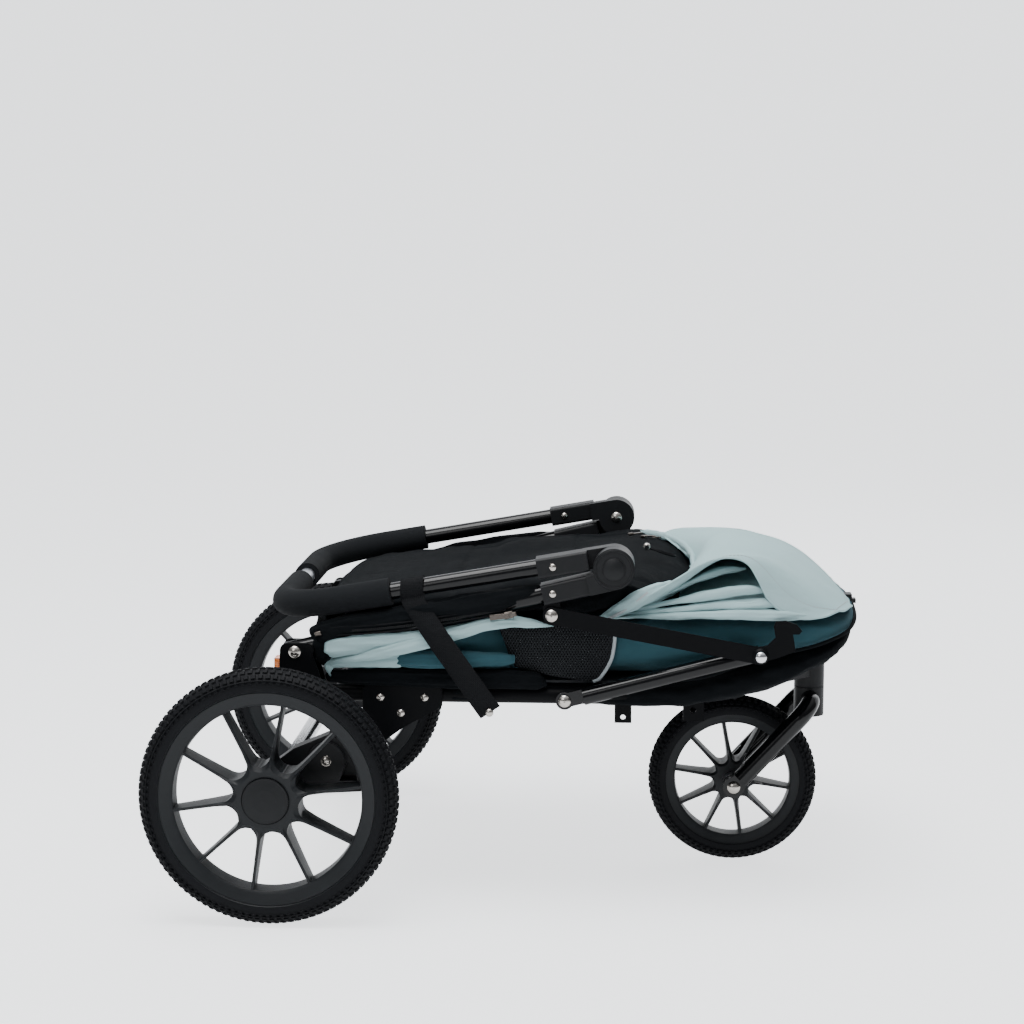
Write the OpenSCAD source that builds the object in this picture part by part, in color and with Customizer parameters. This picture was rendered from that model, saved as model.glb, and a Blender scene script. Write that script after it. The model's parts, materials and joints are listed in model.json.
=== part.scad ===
// Three-wheel pet stroller, folded flat and standing on its wheels.
// X points forward, Y to the stroller's left, Z up.
// The parts are drawn from the floor under the middle of the rear axle, and are then all moved
// back, so that the origin is on the floor under the middle of the stroller's length.
// Pieces that come in pairs are drawn on the left and mirrored to the right.

/* [Wheels] */
// Radius of a rear wheel over its tread
rear_r = 145; // [143:1:147]
// Width of a rear tyre
rear_w = 40; // [37:1:41]
// Distance between the middles of the rear wheels
track = 550; // [548:1:560]
// Distance from the rear axle forward to the front axle
wheelbase = 522; // [519:1:526]
// Radius of the front wheel over its tread
front_r = 102; // [100:1:103]
// Width of the front tyre
front_w = 36; // [33:1:38]
// Number of spokes in each wheel
spokes = 10; // [8:1:11]

/* [Chassis] */
// Distance from the middle plane to a chassis rail
rail_y = 188; // [187:1:188]
// Height of the chassis rails
rail_z = 243; // [242:0.5:244]
// Diameter of the chassis, handle and strut tubes
tube_d = 19; // [18:0.5:19]
// Distance forward to the caster's vertical axis
caster_x = 613.5; // [612:0.5:615]

/* [Folding frame] */
// Distance from the middle plane to the uprights, struts and handle arms
side_y = 207.5; // [207:0.5:208]
// Diameter of the uprights
upright_d = 22; // [21:0.5:22]
// Distance from the rear pivot to the elbow, measured along X
elbow_x = 378.5; // [377:0.5:380]
// Height of the elbow's axis
elbow_z = 393.5; // [393:0.5:394]
// Slope of the folded uprights
upright_tilt = 13.4; // [13.2:0.1:13.5]
// Slope of the folded handle
handle_tilt = 9.8; // [9.6:0.1:10]
// Distance forward of the handle's crossbar when it is folded
crossbar_x = 4; // [2:1:8]
// Radius of the bends in the handle
bend_r = 80; // [76:1:84]

/* [Cabin] */
// Half the width of the fabric cabin
cabin_y = 194; // [190:1:194.5]
// How far forward the cabin's nose reaches
nose_x = 660; // [655:1:662]
// Distance forward where the cabin starts
cabin_back = 58; // [58:1:60]

/* [Hidden] */
$fn = 64;
// how far the clip stands in front of the cabin's nose
clip_reach = 7;
// middle of the whole length, measured forward from the rear axle
middle_x = (nose_x + clip_reach - rear_r) / 2;

tube_r = tube_d / 2;
upright_r = upright_d / 2;
run = 0.05;                // running clearance of a pin in its hole
rear_y = track / 2;
axle_r = 6;
bush_r = 11;
hub_half = 22;
seat_r = rear_r - 17;      // where the tyre sits on the rim
caster_r = 18;
crown_z = 203;
seam_z = 217;
head_top = 255;
stem_r = 8;
leg_y = 48;
leg_r = 11;
leg_bend = 24;
front_pin_r = 5;
pivot_r = 4;
plate = 3;                 // thickness of the pressed steel plates
rivet_places = [[116, 241], [166, 241], [139, 223]];
// Bolt through each axle housing, on which the brake bar's levers turn
brake_x = 58;
brake_z = 174;

// Rear pivot of the uprights, on the line of the folded upright
elbow_drop = 12.5;
pivot_x = 22.5;
pivot_z = elbow_z - elbow_drop / cos(upright_tilt) - (elbow_x - pivot_x) * tan(upright_tilt);
// Pivots of the side link and of the front strut
link_x = 309.7;
link_z = 340;
strut_x = 324;
strut_z = 240;
joint_x = 541;
joint_z = 297;
link_y = 219.5;

// ---- shared helpers ------------------------------------------------------

module rod_x(r, from, to) translate([from, 0, 0]) rotate([0, 90, 0]) cylinder(r = r, h = to - from);
module rod_y(r, from, to) translate([0, from, 0]) rotate([-90, 0, 0]) cylinder(r = r, h = to - from);
module rod_z(r, from, to) translate([0, 0, from]) cylinder(r = r, h = to - from);

// side is 1 for the left, -1 for the right
module on_side(side) {
    if (side > 0) children();
    else mirror([0, 1, 0]) children();
}
module both_sides() for (side = [1, -1]) on_side(side) children();

// an outline in X and Z, given thickness between two distances from the middle plane
module side_plate(from, to) translate([0, to, 0]) rotate([90, 0, 0]) linear_extrude(to - from) children();

// domed head of a bolt whose axis is Y, its flat side at y = 0 and its dome outwards
module dome_head(r, h) rotate([-90, 0, 0]) rotate_extrude() intersection() {
    translate([0, h - (r * r + h * h) / (2 * h)]) circle(r = (r * r + h * h) / (2 * h), $fn = 96);
    square([r, h]);
}

// a stadium outline from the origin to a point along a direction
module bar_outline(r, length, tilt) rotate(tilt) union() {
    circle(r = r);
    translate([length, 0]) circle(r = r);
    translate([0, -r]) square([length, 2 * r]);
}

// ---- wheels ----------------------------------------------------------------

module tyre(r, w, seat) color("#202224") rotate([90, 0, 0]) rotate_extrude($fn = 96) difference() {
    translate([r - w / 2, 0]) circle(r = w / 2);
    translate([seat - 50, -w]) square([50, 2 * w]);
}

module spoked_rim(seat, inner, half, hub, hub_len, bore, spoke_w, depth) color("#25282a") union() {
    rotate([90, 0, 0]) rotate_extrude($fn = 96)
        polygon([[inner, -half + 4], [inner + 5, -half], [seat, -half], [seat, half],
                 [inner + 5, half], [inner, half - 4]]);
    difference() {
        union() {
            rod_y(hub, -hub_len, hub_len);
            for (i = [0:spokes - 1]) rotate([0, i * 360 / spokes + 6, 0])
                translate([0, depth / 2, 0]) rotate([90, 0, 0]) linear_extrude(depth)
                    polygon([[hub - 4, -spoke_w * 0.7], [inner + 2, -spoke_w * 0.4],
                             [inner + 2, spoke_w * 0.4], [hub - 4, spoke_w * 0.7]]);
        }
        rod_y(bore, -hub_len - 1, hub_len + 1);
    }
}

module at_rear_wheel(side) on_side(side) translate([0, rear_y, rear_r]) children();

module rear_tyre(side) at_rear_wheel(side) tyre(rear_r, rear_w, seat_r);
module rear_rim(side) at_rear_wheel(side) difference() {
    spoked_rim(seat_r, seat_r - 23, rear_w / 2 - 1, 34, hub_half, bush_r, 10, 24);
    rod_y(16, hub_half - 11, hub_half + 1);
}
module rear_hub_cap(side) color("#2b2e30") at_rear_wheel(side) union() {
    rod_y(25.4, hub_half, hub_half + 2);
    translate([0, hub_half + 2, 0]) dome_head(24, 1.5);
}
module bush(outer, inner, from, to) difference() {
    rod_y(outer, from, to);
    rod_y(inner, from - 1, to + 1);
}
module rear_hub_bushes(side) color("#8d9296") at_rear_wheel(side) {
    bush(bush_r, axle_r + run, -hub_half, -hub_half + 11);
    bush(bush_r, axle_r + run, 0, 10);
}
module rear_axle_shaft() color("#9da2a6") translate([0, 0, rear_r])
    rod_y(axle_r, -rear_y - 17, rear_y + 17);
module rear_axle_tube() color("#c4c8cb") translate([0, 0, rear_r]) difference() {
    rod_y(tube_r, -199.5, 199.5);
    rod_y(axle_r, -210, 210);
}
module rear_axle_nuts() color("#8d9296") both_sides() translate([0, rear_y, rear_r]) difference() {
    translate([0, 16.5, 0]) rotate([90, 0, 0]) cylinder(r = 9, h = 5, $fn = 6);
    rod_y(axle_r, 10, 18);
}

// Moulded plastic housing that carries the axle below its channel bracket
module axle_housing(side) color("#1d1f21") on_side(side) difference() {
    union() {
        side_plate(204, 226) union() {
            polygon([[-12, 132], [30, 134], [96, 138], [100, 146], [96, 168], [84, 192], [60, 203],
                     [20, 186], [-14, 160]]);
            translate([0, rear_r]) circle(r = 20);
        }
        side_plate(226, 233) translate([brake_x, brake_z]) circle(r = 21);
        side_plate(233, 250) translate([0, rear_r]) circle(r = 13);
    }
    translate([0, 0, rear_r]) rod_y(axle_r, 190, 260);
    translate([brake_x, 0, brake_z]) rod_y(pivot_r, 190, 260);
    side_plate(210, 240) polygon([[72, 150], [92, 150], [90, 164], [81, 172]]);
}

// Pressed plate that holds the housing under the chassis rail
module channel_bracket(side) color("#191b1d") on_side(side) difference() {
    union() {
        side_plate(rail_y + tube_r + 0.5, rail_y + tube_r + 0.5 + plate)
            polygon([[96, 229], [96, 251], [186, 251], [186, 232], [182, 229], [140, 205], [96, 172], [70, 168],
                     [58, 176], [62, 200]]);
        side_plate(rail_y - 6, rail_y + tube_r + 0.5) polygon([[98, 252.5], [98, 254.5], [184, 254.5],
            [184, 252.5]]);
        side_plate(rail_y + tube_r - 1, rail_y + tube_r + 0.5 + plate)
            polygon([[98, 250.5], [98, 254.5], [184, 254.5], [184, 250.5]]);
    }
    for (hole = rivet_places) translate([hole[0], 0, hole[1]]) rod_y(pivot_r, 150, 230);
    translate([0, rail_y, rail_z]) rod_x(tube_r, 0, 300);
    translate([brake_x, 0, brake_z]) rod_y(pivot_r, 190, 260);
}
module bracket_rivets() color("#b9b4aa") both_sides() {
    for (hole = rivet_places) translate([hole[0], 0, hole[1]]) {
        rod_y(pivot_r, rail_y + tube_r, rail_y + tube_r + 0.5 + plate);
        translate([0, rail_y + tube_r + 0.5 + plate, 0]) dome_head(4.6, 2.4);
    }
    translate([brake_x, 0, brake_z]) {
        rod_y(pivot_r, 199, 233);
        translate([0, 233, 0]) dome_head(6, 2.5);
    }
}

// ---- chassis ---------------------------------------------------------------

rail_bend_x = 400;
rail_bend_r = 60;
rail_turn = 46;
rail_last = 196;           // length of the slanted end of the rail
cross_r = 8;
rear_cross_x = 68;
middle_cross_x = 350;
tab_hole_z = 218.5;

module rail_path() translate([0, 0, rail_z]) {
    translate([0, rail_y, 0]) rod_x(tube_r, 8, rail_bend_x);
    translate([rail_bend_x, rail_y - rail_bend_r, 0]) {
        rotate([0, 0, 90 - rail_turn]) rotate_extrude(angle = rail_turn)
            translate([rail_bend_r, 0]) circle(r = tube_r);
        rotate([0, 0, -rail_turn]) translate([0, rail_bend_r, 0]) rod_x(tube_r, 0, rail_last);
    }
}
module chassis_rail(side) color("#17191b") on_side(side) rail_path();
// tube that joins the two rails at a distance x forward
module cross_tube(x) color("#17191b") translate([x, 0, rail_z]) difference() {
    rod_y(cross_r, -rail_y + 4, rail_y - 4);
    both_sides() translate([-100, rail_y, 0]) rod_x(tube_r, 0, 200);
}
module caster_head() color("#1a1c1e") difference() {
    union() {
        translate([caster_x, 0, 0]) rod_z(caster_r, seam_z + 0.3, head_top);
        translate([0, 0, 231]) linear_extrude(head_top - 231)
            polygon([[558, -56], [558, 56], [582, 50], [caster_x, 17], [caster_x, -17], [582, -50]]);
    }
    translate([caster_x, 0, 0]) rod_z(stem_r + run, seam_z - 1, 250);
    both_sides() rail_path();
}
module under_tabs() color("#1d1f21") both_sides() {
    difference() {
        side_plate(rail_y - 1.5, rail_y + 1.5) translate([380, 212]) square([19, 26]);
        rail_path();
        translate([389.5, 0, tab_hole_z]) rod_y(3, 150, 230);
    }
    difference() {
        side_plate(148.5, 151.5) translate([458, 206]) square([24, 32]);
        rail_path();
        translate([469.5, 0, 219]) rod_y(3.5, 130, 170);
    }
}

module pivot_cheek() difference() {
    union() {
        polygon([[4, 256], [54, 256], [50, 272], [38, 306], [14, 306], [6, 298]]);
        translate([14, 298]) circle(r = 8);
        translate([36, 298]) circle(r = 8);
    }
    translate([pivot_x, pivot_z]) circle(r = pivot_r);
}
module pivot_bracket(side) color("#141617") on_side(side) difference() {
    union() {
        side_plate(side_y + upright_r + 0.7, side_y + upright_r + 0.7 + plate) pivot_cheek();
        side_plate(side_y - upright_r - 0.7 - plate, side_y - upright_r - 0.7) pivot_cheek();
        side_plate(side_y - upright_r - 1, side_y + upright_r + 1)
            polygon([[4, 256], [54, 256], [54, 260], [4, 260]]);
        side_plate(rail_y - 12, rail_y + 12) polygon([[4, 230], [54, 230], [54, 257], [4, 257]]);
    }
    rail_path();
}
module rear_pivot_bolts() color("#a9a294") both_sides() translate([pivot_x, 0, pivot_z]) {
    rod_y(pivot_r, side_y - upright_r - 6, side_y + upright_r + 0.7 + plate);
    translate([0, side_y + upright_r + 0.7 + plate, 0]) dome_head(7, 3);
}
module rear_reflectors() color("#d0561c") both_sides()
    side_plate(side_y - 8, side_y + upright_r + 0.7) translate([-1, 271]) square([6.6, 17]);

module strut_pivot_bolts() color("#5c5f60") both_sides() translate([strut_x, 0, strut_z]) {
    rod_y(pivot_r, rail_y + tube_r, 207);
    translate([0, 207, 0]) dome_head(7, 3);
}

// ---- front fork --------------------------------------------------------------

leg_run = [caster_x - wheelbase, crown_z - front_r];
leg_tilt = atan2(leg_run[0], leg_run[1]);
leg_len = norm(leg_run);

module fork_crown() color("#1a1c1e") translate([caster_x, 0, 0]) difference() {
    rod_z(caster_r, 181.5, seam_z - 0.3);
    rod_z(stem_r, 185, seam_z);
}
module caster_stem() color("#8d9296") translate([caster_x, 0, 0]) rod_z(stem_r, 185, 249);

module fork_leg(side) color("#101112") on_side(side) difference() {
    translate([caster_x, 0, crown_z]) rotate([0, leg_tilt, 0]) union() {
        rod_y(leg_r, 8, leg_y - leg_bend);
        translate([0, leg_y - leg_bend, -leg_bend]) rotate([90, 0, 90])
            rotate_extrude(angle = 90) translate([leg_bend, 0]) circle(r = leg_r);
        translate([0, leg_y, 0]) rod_z(leg_r, -leg_len + 12, -leg_bend);
        translate([-10, leg_y - 8, -leg_len]) cube([20, 13, 30]);
        translate([0, 0, -leg_len]) rod_y(13, leg_y - 8, leg_y + 5);
    }
    translate([caster_x, 0, 0]) rod_z(caster_r, 150, 250);
    translate([wheelbase, 0, front_r]) rod_y(front_pin_r, 0, 100);
    translate([wheelbase, 0, front_r]) rod_y(14, 10, leg_y - 8);
}
module front_axle_bolt() color("#c9c6bf") translate([wheelbase, 0, front_r]) {
    rod_y(front_pin_r, -leg_y - 5, leg_y + 5);
    both_sides() translate([0, leg_y + 5, 0]) dome_head(8, 4);
    both_sides() bush(10, front_pin_r, 31, leg_y - 8);
}
module front_tyre() translate([wheelbase, 0, front_r]) tyre(front_r, front_w, front_r - 14);
module front_rim() translate([wheelbase, 0, front_r])
    spoked_rim(front_r - 14, front_r - 32, front_w / 2 - 1, 22, 30, bush_r, 7, 20);
module front_hub_bushes() color("#8d9296") translate([wheelbase, 0, front_r])
    both_sides() bush(bush_r, front_pin_r + run, 18, 30);

// ---- uprights and elbows -------------------------------------------------------

upright_len = (elbow_x - pivot_x) / cos(upright_tilt) + elbow_drop * tan(upright_tilt);
arm_start = 30;            // where an arm's tube ends inside its elbow housing

module at_elbow(tilt) translate([elbow_x, side_y, elbow_z]) rotate([0, -tilt, 0]) children();

module upright(side) color("#101112") on_side(side) difference() {
    translate([pivot_x, side_y, pivot_z]) rotate([0, -upright_tilt, 0])
        rod_x(upright_r, -12, upright_len - arm_start);
    translate([pivot_x, 0, pivot_z]) rod_y(pivot_r + run, 150, 250);
}

// half of an elbow: a sleeve round the tube, a neck, and a disc on one side of the joint
disc_r = 23;
sleeve_len = 84;
sleeve_half = 11.4;         // half the height of a sleeve
module elbow_half(lift, from, to, tube) difference() {
    union() {
        rod_y(disc_r, from, to);
        translate([-32, from, lift > 0 ? 1 : -disc_r]) cube([32, to - from, disc_r - 1]);
        translate([0, 0, lift]) rotate([0, -90, 0]) translate([0, 0, 27]) linear_extrude(sleeve_len - 27)
            union() {
                translate([-8, -15]) square([16, 30]);
                for (a = [-8, 8], b = [-11.6, 11.6]) translate([a, b]) circle(r = sleeve_half - 8);
                translate([-sleeve_half, -11.6]) square([2 * sleeve_half, 23.2]);
            }
    }
    translate([0, 0, lift]) rod_x(tube, -200, -arm_start);
}
module elbow_lower(side) color("#24272a") on_side(side) difference() {
    at_elbow(upright_tilt) elbow_half(-elbow_drop, 0.3, 20, upright_r);
    translate([elbow_x, side_y, elbow_z]) {
        rod_y(12.5, 8, 30);
        rod_y(5, -1, 10);
    }
}
module elbow_uppers() color("#24272a") both_sides() difference() {
    at_elbow(handle_tilt) elbow_half(elbow_drop, -20, -0.3, tube_r);
    translate([elbow_x, side_y, elbow_z]) rod_y(5 + run, -30, 1);
}
module elbow_pins() color("#b9b4aa") both_sides() translate([elbow_x, side_y, elbow_z]) {
    rod_y(5, -20.4, 7);
    translate([0, -20.4, 0]) mirror([0, 1, 0]) dome_head(7, 2.4);
}
module elbow_button(side) color("#2b2e30") on_side(side) translate([elbow_x, side_y, elbow_z]) {
    rod_y(12.45, 13, 20.5);
    translate([0, 20.5, 0]) dome_head(12.45, 3.5);
}

// Lug that hangs under each elbow's sleeve and carries the side link
module link_lugs() color("#141617") both_sides() difference() {
    side_plate(side_y - 4, link_y - 0.5) union() {
        translate([link_x, link_z]) circle(r = 9.5);
        translate([link_x - 9.5, link_z]) square([19, 22]);
    }
    at_elbow(upright_tilt) translate([-200, -30, -elbow_drop - sleeve_half]) cube([250, 60, 60]);
    translate([link_x, 0, link_z]) rod_y(pivot_r, 150, 250);
}
module link_pivot_bolts() color("#8d8a84") both_sides() translate([link_x, 0, link_z]) {
    rod_y(pivot_r, side_y - 4, link_y + plate + 0.3);
    translate([0, link_y + plate + 0.3, 0]) dome_head(7, 3);
}

// ---- handle ------------------------------------------------------------------

cross_run = (elbow_x - crossbar_x) / cos(handle_tilt) + elbow_drop * tan(handle_tilt);
grip_end = cross_run - 132;

// the handle's path in its own plane: x runs back from the elbow, y to the left
module handle_path(r, bore, from, mid) at_handle() {
    for (side = [1, -1]) on_side(side) {
        difference() {
            translate([0, side_y, 0]) rod_x(r, -cross_run + bend_r, -from);
            if (bore > 0) translate([0, side_y, 0]) rod_x(bore, -cross_run - 1, 0);
        }
        translate([-cross_run + bend_r, side_y - bend_r, 0]) rotate([0, 0, 90])
            rotate_extrude(angle = 90) translate([bend_r, 0]) difference() {
                circle(r = r);
                if (bore > 0) circle(r = bore);
            }
    }
    if (mid >= 0) for (side = [1, -1]) on_side(side) difference() {
        translate([-cross_run, 0, 0]) rod_y(r, mid, side_y - bend_r);
        if (bore > 0) translate([-cross_run, 0, 0]) rod_y(bore, 0, side_y);
    }
}
module at_handle() translate([elbow_x, 0, elbow_z]) rotate([0, -handle_tilt, 0])
    translate([0, 0, elbow_drop]) children();

module handle_tube() color("#141516") handle_path(tube_r, 0, arm_start, 0);
module foam_grip(side) color("#232527") intersection() {
    handle_path(15.5, tube_r, grip_end, 27);
    on_side(side) translate([-100, 0, 200]) cube([400, 300, 300]);
}

// Webbing strap that hangs from the handle's right arm and snaps under the cabin
strap_top = 154;
module fold_strap() color("#191a1b") on_side(-1) difference() {
    union() {
        side_plate(226.5, 228.5) polygon([[strap_top - 14, 384], [strap_top + 12, 387], [246, 236], [222, 226]]);
        side_plate(side_y - tube_r - 2, 228.5) translate([strap_top, 367.8]) polygon([[-14, 13], [12, 17],
            [12, 19.2], [-14, 15.2]]);
        translate([236, 0, 233]) rod_y(6, 224.5, 231);
    }
}

// ---- side links and front struts ----------------------------------------------

link_span = norm([joint_x - link_x, joint_z - link_z]);
link_slope = atan2(joint_z - link_z, joint_x - link_x);
strut_span = norm([joint_x - strut_x, joint_z - strut_z]);
strut_slope = atan2(joint_z - strut_z, joint_x - strut_x);

module side_links() color("#131415") both_sides() {
    difference() {
        side_plate(link_y, link_y + plate) union() {
            translate([link_x, link_z]) bar_outline(9.5, link_span, link_slope);
            polygon([[joint_x - 6, joint_z - 9.5], [562, 296], [579, 303], [577, 317], [576, 322], [583, 322],
                     [586, 326], [580, 333], [568, 337], [557, 336], [555, 330], [557, 318], [548, 309],
                     [joint_x - 6, joint_z + 9.5]]);
        }
        translate([link_x, 0, link_z]) rod_y(pivot_r + run, 200, 250);
        translate([joint_x, 0, joint_z]) rod_y(pivot_r, 200, 250);
    }
    translate([joint_x, 0, joint_z]) {
        rod_y(pivot_r, link_y, link_y + plate);
        translate([0, link_y + plate, 0]) dome_head(9, 5);
    }
}
module front_struts() color("#101112") both_sides() translate([strut_x, 0, strut_z])
    rotate([0, -strut_slope, 0]) difference() {
        union() {
            translate([0, side_y, 0]) rod_x(tube_r, 22, strut_span);
            side_plate(199.5, 205) union() {
                circle(r = 10);
                translate([0, -8]) square([36, 16]);
            }
        }
        rod_y(pivot_r + run, 150, 250);
    }

// ---- fabric, as plain closed solids ---------------------------------------------

// plan of the cabin: parallel sides and a rounded nose
cover_y = side_y - 21;      // half the width of the cover, inside the elbows
function nose(half, start, tip, n) = [for (i = [0:n]) let (a = 90 - 180 * i / n, c = cos(a), s = sin(a))
    [start + (tip - start) * pow(abs(c), 0.8), half * sign(s) * pow(abs(s), 0.8)]];
module plan(half, back, start, tip) linear_extrude(700)
    polygon(concat([[back, -half], [back, half]], nose(half, start, tip, 20)));

module lower_tray() color("#1c2023") difference() {
    intersection() {
        plan(rail_y + tube_r + 1.5, 188, 500, 640);
        side_plate(-300, 300) polygon([[188, 229], [350, 228], [401, 223], [458, 224], [515, 233],
                                       [550, 243], [604, 257], [188, 257]]);
    }
    both_sides() rail_path();
    translate([540, -60, 200]) cube([100, 120, 55.5]);
    translate([0, -300, 253]) cube([700, 600, 30]);
    translate([middle_cross_x, 0, rail_z]) rod_y(cross_r, -300, 300);
    both_sides() side_plate(rail_y - 1.5, rail_y + 1.5) translate([380, 212]) square([19, 26]);
    both_sides() side_plate(148.5, 151.5) translate([458, 206]) square([24, 32]);
    both_sides() side_plate(197.5, 260) translate([strut_x, strut_z]) bar_outline(12, 240, strut_slope);
}
module cabin_floor_board() color("#30343a") intersection() {
    plan(180, 70, 470, 610);
    translate([0, -300, 255.5]) cube([700, 600, 3]);
}
module cabin_body() color("#345c69") difference() {
    intersection() {
        plan(cabin_y, cabin_back, 500, nose_x);
        side_plate(-300, 300) polygon([[cabin_back, 259], [590, 259], [628, 268], [650, 290], [nose_x, 312],
            [656, 334], [620, 338], [470, 338], [300, 336], [160, 327], [100, 322], [70, 316],
            [cabin_back, 306]]);
    }
    nose_clip();
}
module top_cover() color("#202427") intersection() {
    linear_extrude(700) polygon(concat([[62, -cover_y], [42, -160], [42, 160], [62, cover_y]],
        nose(cover_y, 380, 466, 20)));
    side_plate(-300, 300) polygon([[42, 324], [60, 329], [100, 333], [160, 339], [300, 348], [466, 344],
        [466, 358], [430, 370], [378, 376], [300, 374], [227, 368], [130, 356], [60, 346], [44, 334]]);
}
module canopy() color("#b3c9ca") intersection() {
    plan(cabin_y, 470, 530, 652);
    side_plate(-300, 300) polygon([[470, 339], [640, 339], [652, 342], [650, 356], [630, 386], [590, 404],
        [540, 414], [500, 412], [470, 396]]);
    translate([400, 0, 0]) rotate([90, 0, 90]) linear_extrude(300)
        polygon([[-220, 338], [220, 338], [220, 352], [190, 376], [130, 398], [40, 412], [-40, 416],
                 [-110, 412], [-180, 388], [-220, 352]]);
}
module side_fold(side) color("#a9c1c3") on_side(side) difference() {
    side_plate(cabin_y + 1.5, 224) polygon([[59, 280], [70, 271], [150, 271], [262, 296], [262, 352],
        [180, 350], [80, 330], [60, 316]]);
    translate([pivot_x, side_y, pivot_z]) rotate([0, -upright_tilt, 0]) rod_x(upright_r, 0, 400);
}
module nose_clip() color("#101112") translate([0, -9, 0]) union() {
    translate([nose_x - 6, 0, 322]) cube([8, 18, 8]);
    translate([nose_x - 1, 3, 319]) cube([clip_reach + 1, 12, 5]);
    translate([nose_x - 7, 2, 315]) cube([7, 14, 8]);
}

// ---- parking brake -----------------------------------------------------------

module brake_bar() color("#2b2d2f") {
    translate([88, 0, 150]) rod_y(5, -190, 190);
    both_sides() difference() {
        side_plate(187, 193) union() {
            translate([88, 150]) circle(r = 8);
            translate([brake_x, brake_z]) circle(r = 9);
            translate([brake_x, brake_z]) rotate(-38.7) translate([0, -6]) square([38.4, 12]);
        }
        translate([brake_x, 0, brake_z]) rod_y(pivot_r + run, 150, 250);
        translate([88, 0, 150]) rod_y(5, 150, 190);
    }
}

module centred() translate([-middle_x, 0, 0]) children();

centred() rear_tyre(-1);  // rear_tyre_right
centred() rear_rim(-1);  // rear_rim_right
centred() rear_hub_cap(-1);  // rear_hub_cap_right
centred() rear_hub_bushes(-1);  // rear_hub_bushes_right
centred() rear_tyre(1);  // rear_tyre_left
centred() rear_rim(1);  // rear_rim_left
centred() rear_hub_cap(1);  // rear_hub_cap_left
centred() rear_hub_bushes(1);  // rear_hub_bushes_left
centred() rear_axle_shaft();
centred() rear_axle_tube();
centred() rear_axle_nuts();
centred() axle_housing(-1);  // axle_housing_right
centred() axle_housing(1);  // axle_housing_left
centred() channel_bracket(-1);  // channel_bracket_right
centred() channel_bracket(1);  // channel_bracket_left
centred() bracket_rivets();
centred() pivot_bracket(-1);  // pivot_bracket_right
centred() pivot_bracket(1);  // pivot_bracket_left
centred() rear_pivot_bolts();
centred() rear_reflectors();
centred() chassis_rail(-1);  // chassis_rail_right
centred() chassis_rail(1);  // chassis_rail_left
centred() cross_tube(rear_cross_x);  // rear_cross_tube
centred() cross_tube(middle_cross_x);  // middle_cross_tube
centred() caster_head();
centred() under_tabs();
centred() strut_pivot_bolts();
centred() cabin_floor_board();
centred() lower_tray();
centred() cabin_body();
centred() canopy();
centred() nose_clip();
centred() fork_crown();
centred() caster_stem();
centred() fork_leg(-1);  // fork_leg_right
centred() fork_leg(1);  // fork_leg_left
centred() front_axle_bolt();
centred() front_tyre();
centred() front_rim();
centred() front_hub_bushes();
centred() upright(-1);  // upright_right
centred() upright(1);  // upright_left
centred() elbow_lower(-1);  // elbow_lower_right
centred() elbow_lower(1);  // elbow_lower_left
centred() elbow_pins();
centred() link_lugs();
centred() link_pivot_bolts();
centred() side_fold(-1);  // side_fold_right
centred() side_fold(1);  // side_fold_left
centred() top_cover();
centred() elbow_button(-1);  // elbow_button_right
centred() elbow_button(1);  // elbow_button_left
centred() handle_tube();
centred() foam_grip(-1);  // foam_grip_right
centred() foam_grip(1);  // foam_grip_left
centred() elbow_uppers();
centred() fold_strap();
centred() side_links();
centred() front_struts();
centred() brake_bar();
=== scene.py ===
# %% [markdown]
# # A folded three-wheel pet stroller
# The stroller stands on its own wheels with its frame folded flat: the uprights lie on the
# collapsed cabin, and the handle is folded back over them. The rigid frame comes ready made.
# This lesson dresses it: tyres and moulded wheels, painted and chromed metal, foam, webbing,
# and the cloth of the cabin, which is where most of the work is.
# Lengths are in metres. X points forward, Y to the stroller's left, Z up, and the origin is on
# the floor under the middle of the folded stroller's length.

import json
import math

import bmesh
import bpy
import numpy as np
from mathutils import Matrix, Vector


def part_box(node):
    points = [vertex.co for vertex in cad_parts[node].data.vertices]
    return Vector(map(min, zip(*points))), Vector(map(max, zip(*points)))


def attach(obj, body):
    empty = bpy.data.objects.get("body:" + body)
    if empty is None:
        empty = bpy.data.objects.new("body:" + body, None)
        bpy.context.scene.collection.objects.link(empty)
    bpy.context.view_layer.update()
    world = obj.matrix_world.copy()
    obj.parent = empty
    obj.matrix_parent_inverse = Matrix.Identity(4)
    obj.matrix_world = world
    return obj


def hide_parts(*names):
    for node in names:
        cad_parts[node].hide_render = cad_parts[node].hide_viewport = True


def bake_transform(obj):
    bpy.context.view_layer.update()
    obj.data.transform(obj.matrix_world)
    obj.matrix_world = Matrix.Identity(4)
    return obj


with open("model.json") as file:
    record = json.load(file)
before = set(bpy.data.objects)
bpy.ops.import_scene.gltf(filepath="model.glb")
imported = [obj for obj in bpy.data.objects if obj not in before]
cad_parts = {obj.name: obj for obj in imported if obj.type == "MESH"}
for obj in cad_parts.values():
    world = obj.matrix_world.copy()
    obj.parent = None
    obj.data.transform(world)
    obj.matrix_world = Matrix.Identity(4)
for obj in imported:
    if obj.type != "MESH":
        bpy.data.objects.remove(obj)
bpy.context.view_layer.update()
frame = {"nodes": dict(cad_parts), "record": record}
nodes = frame["nodes"]
MM = 0.001
axle_low, axle_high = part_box("rear_axle_shaft")
AXLE_X = (axle_low.x + axle_high.x) / 2

# %% [markdown]
# ## The camera, the floor and the light
# A long lens from the stroller's right side keeps the wheels nearly round. The floor rises into
# a wall in one smooth sweep, as paper does in a studio, so no horizon cuts the picture. The light
# is a pale room, brighter overhead, with three soft lamps: a strong one above and two weak ones.
# A folded black frame is read from the long highlights on its tubes.

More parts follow.
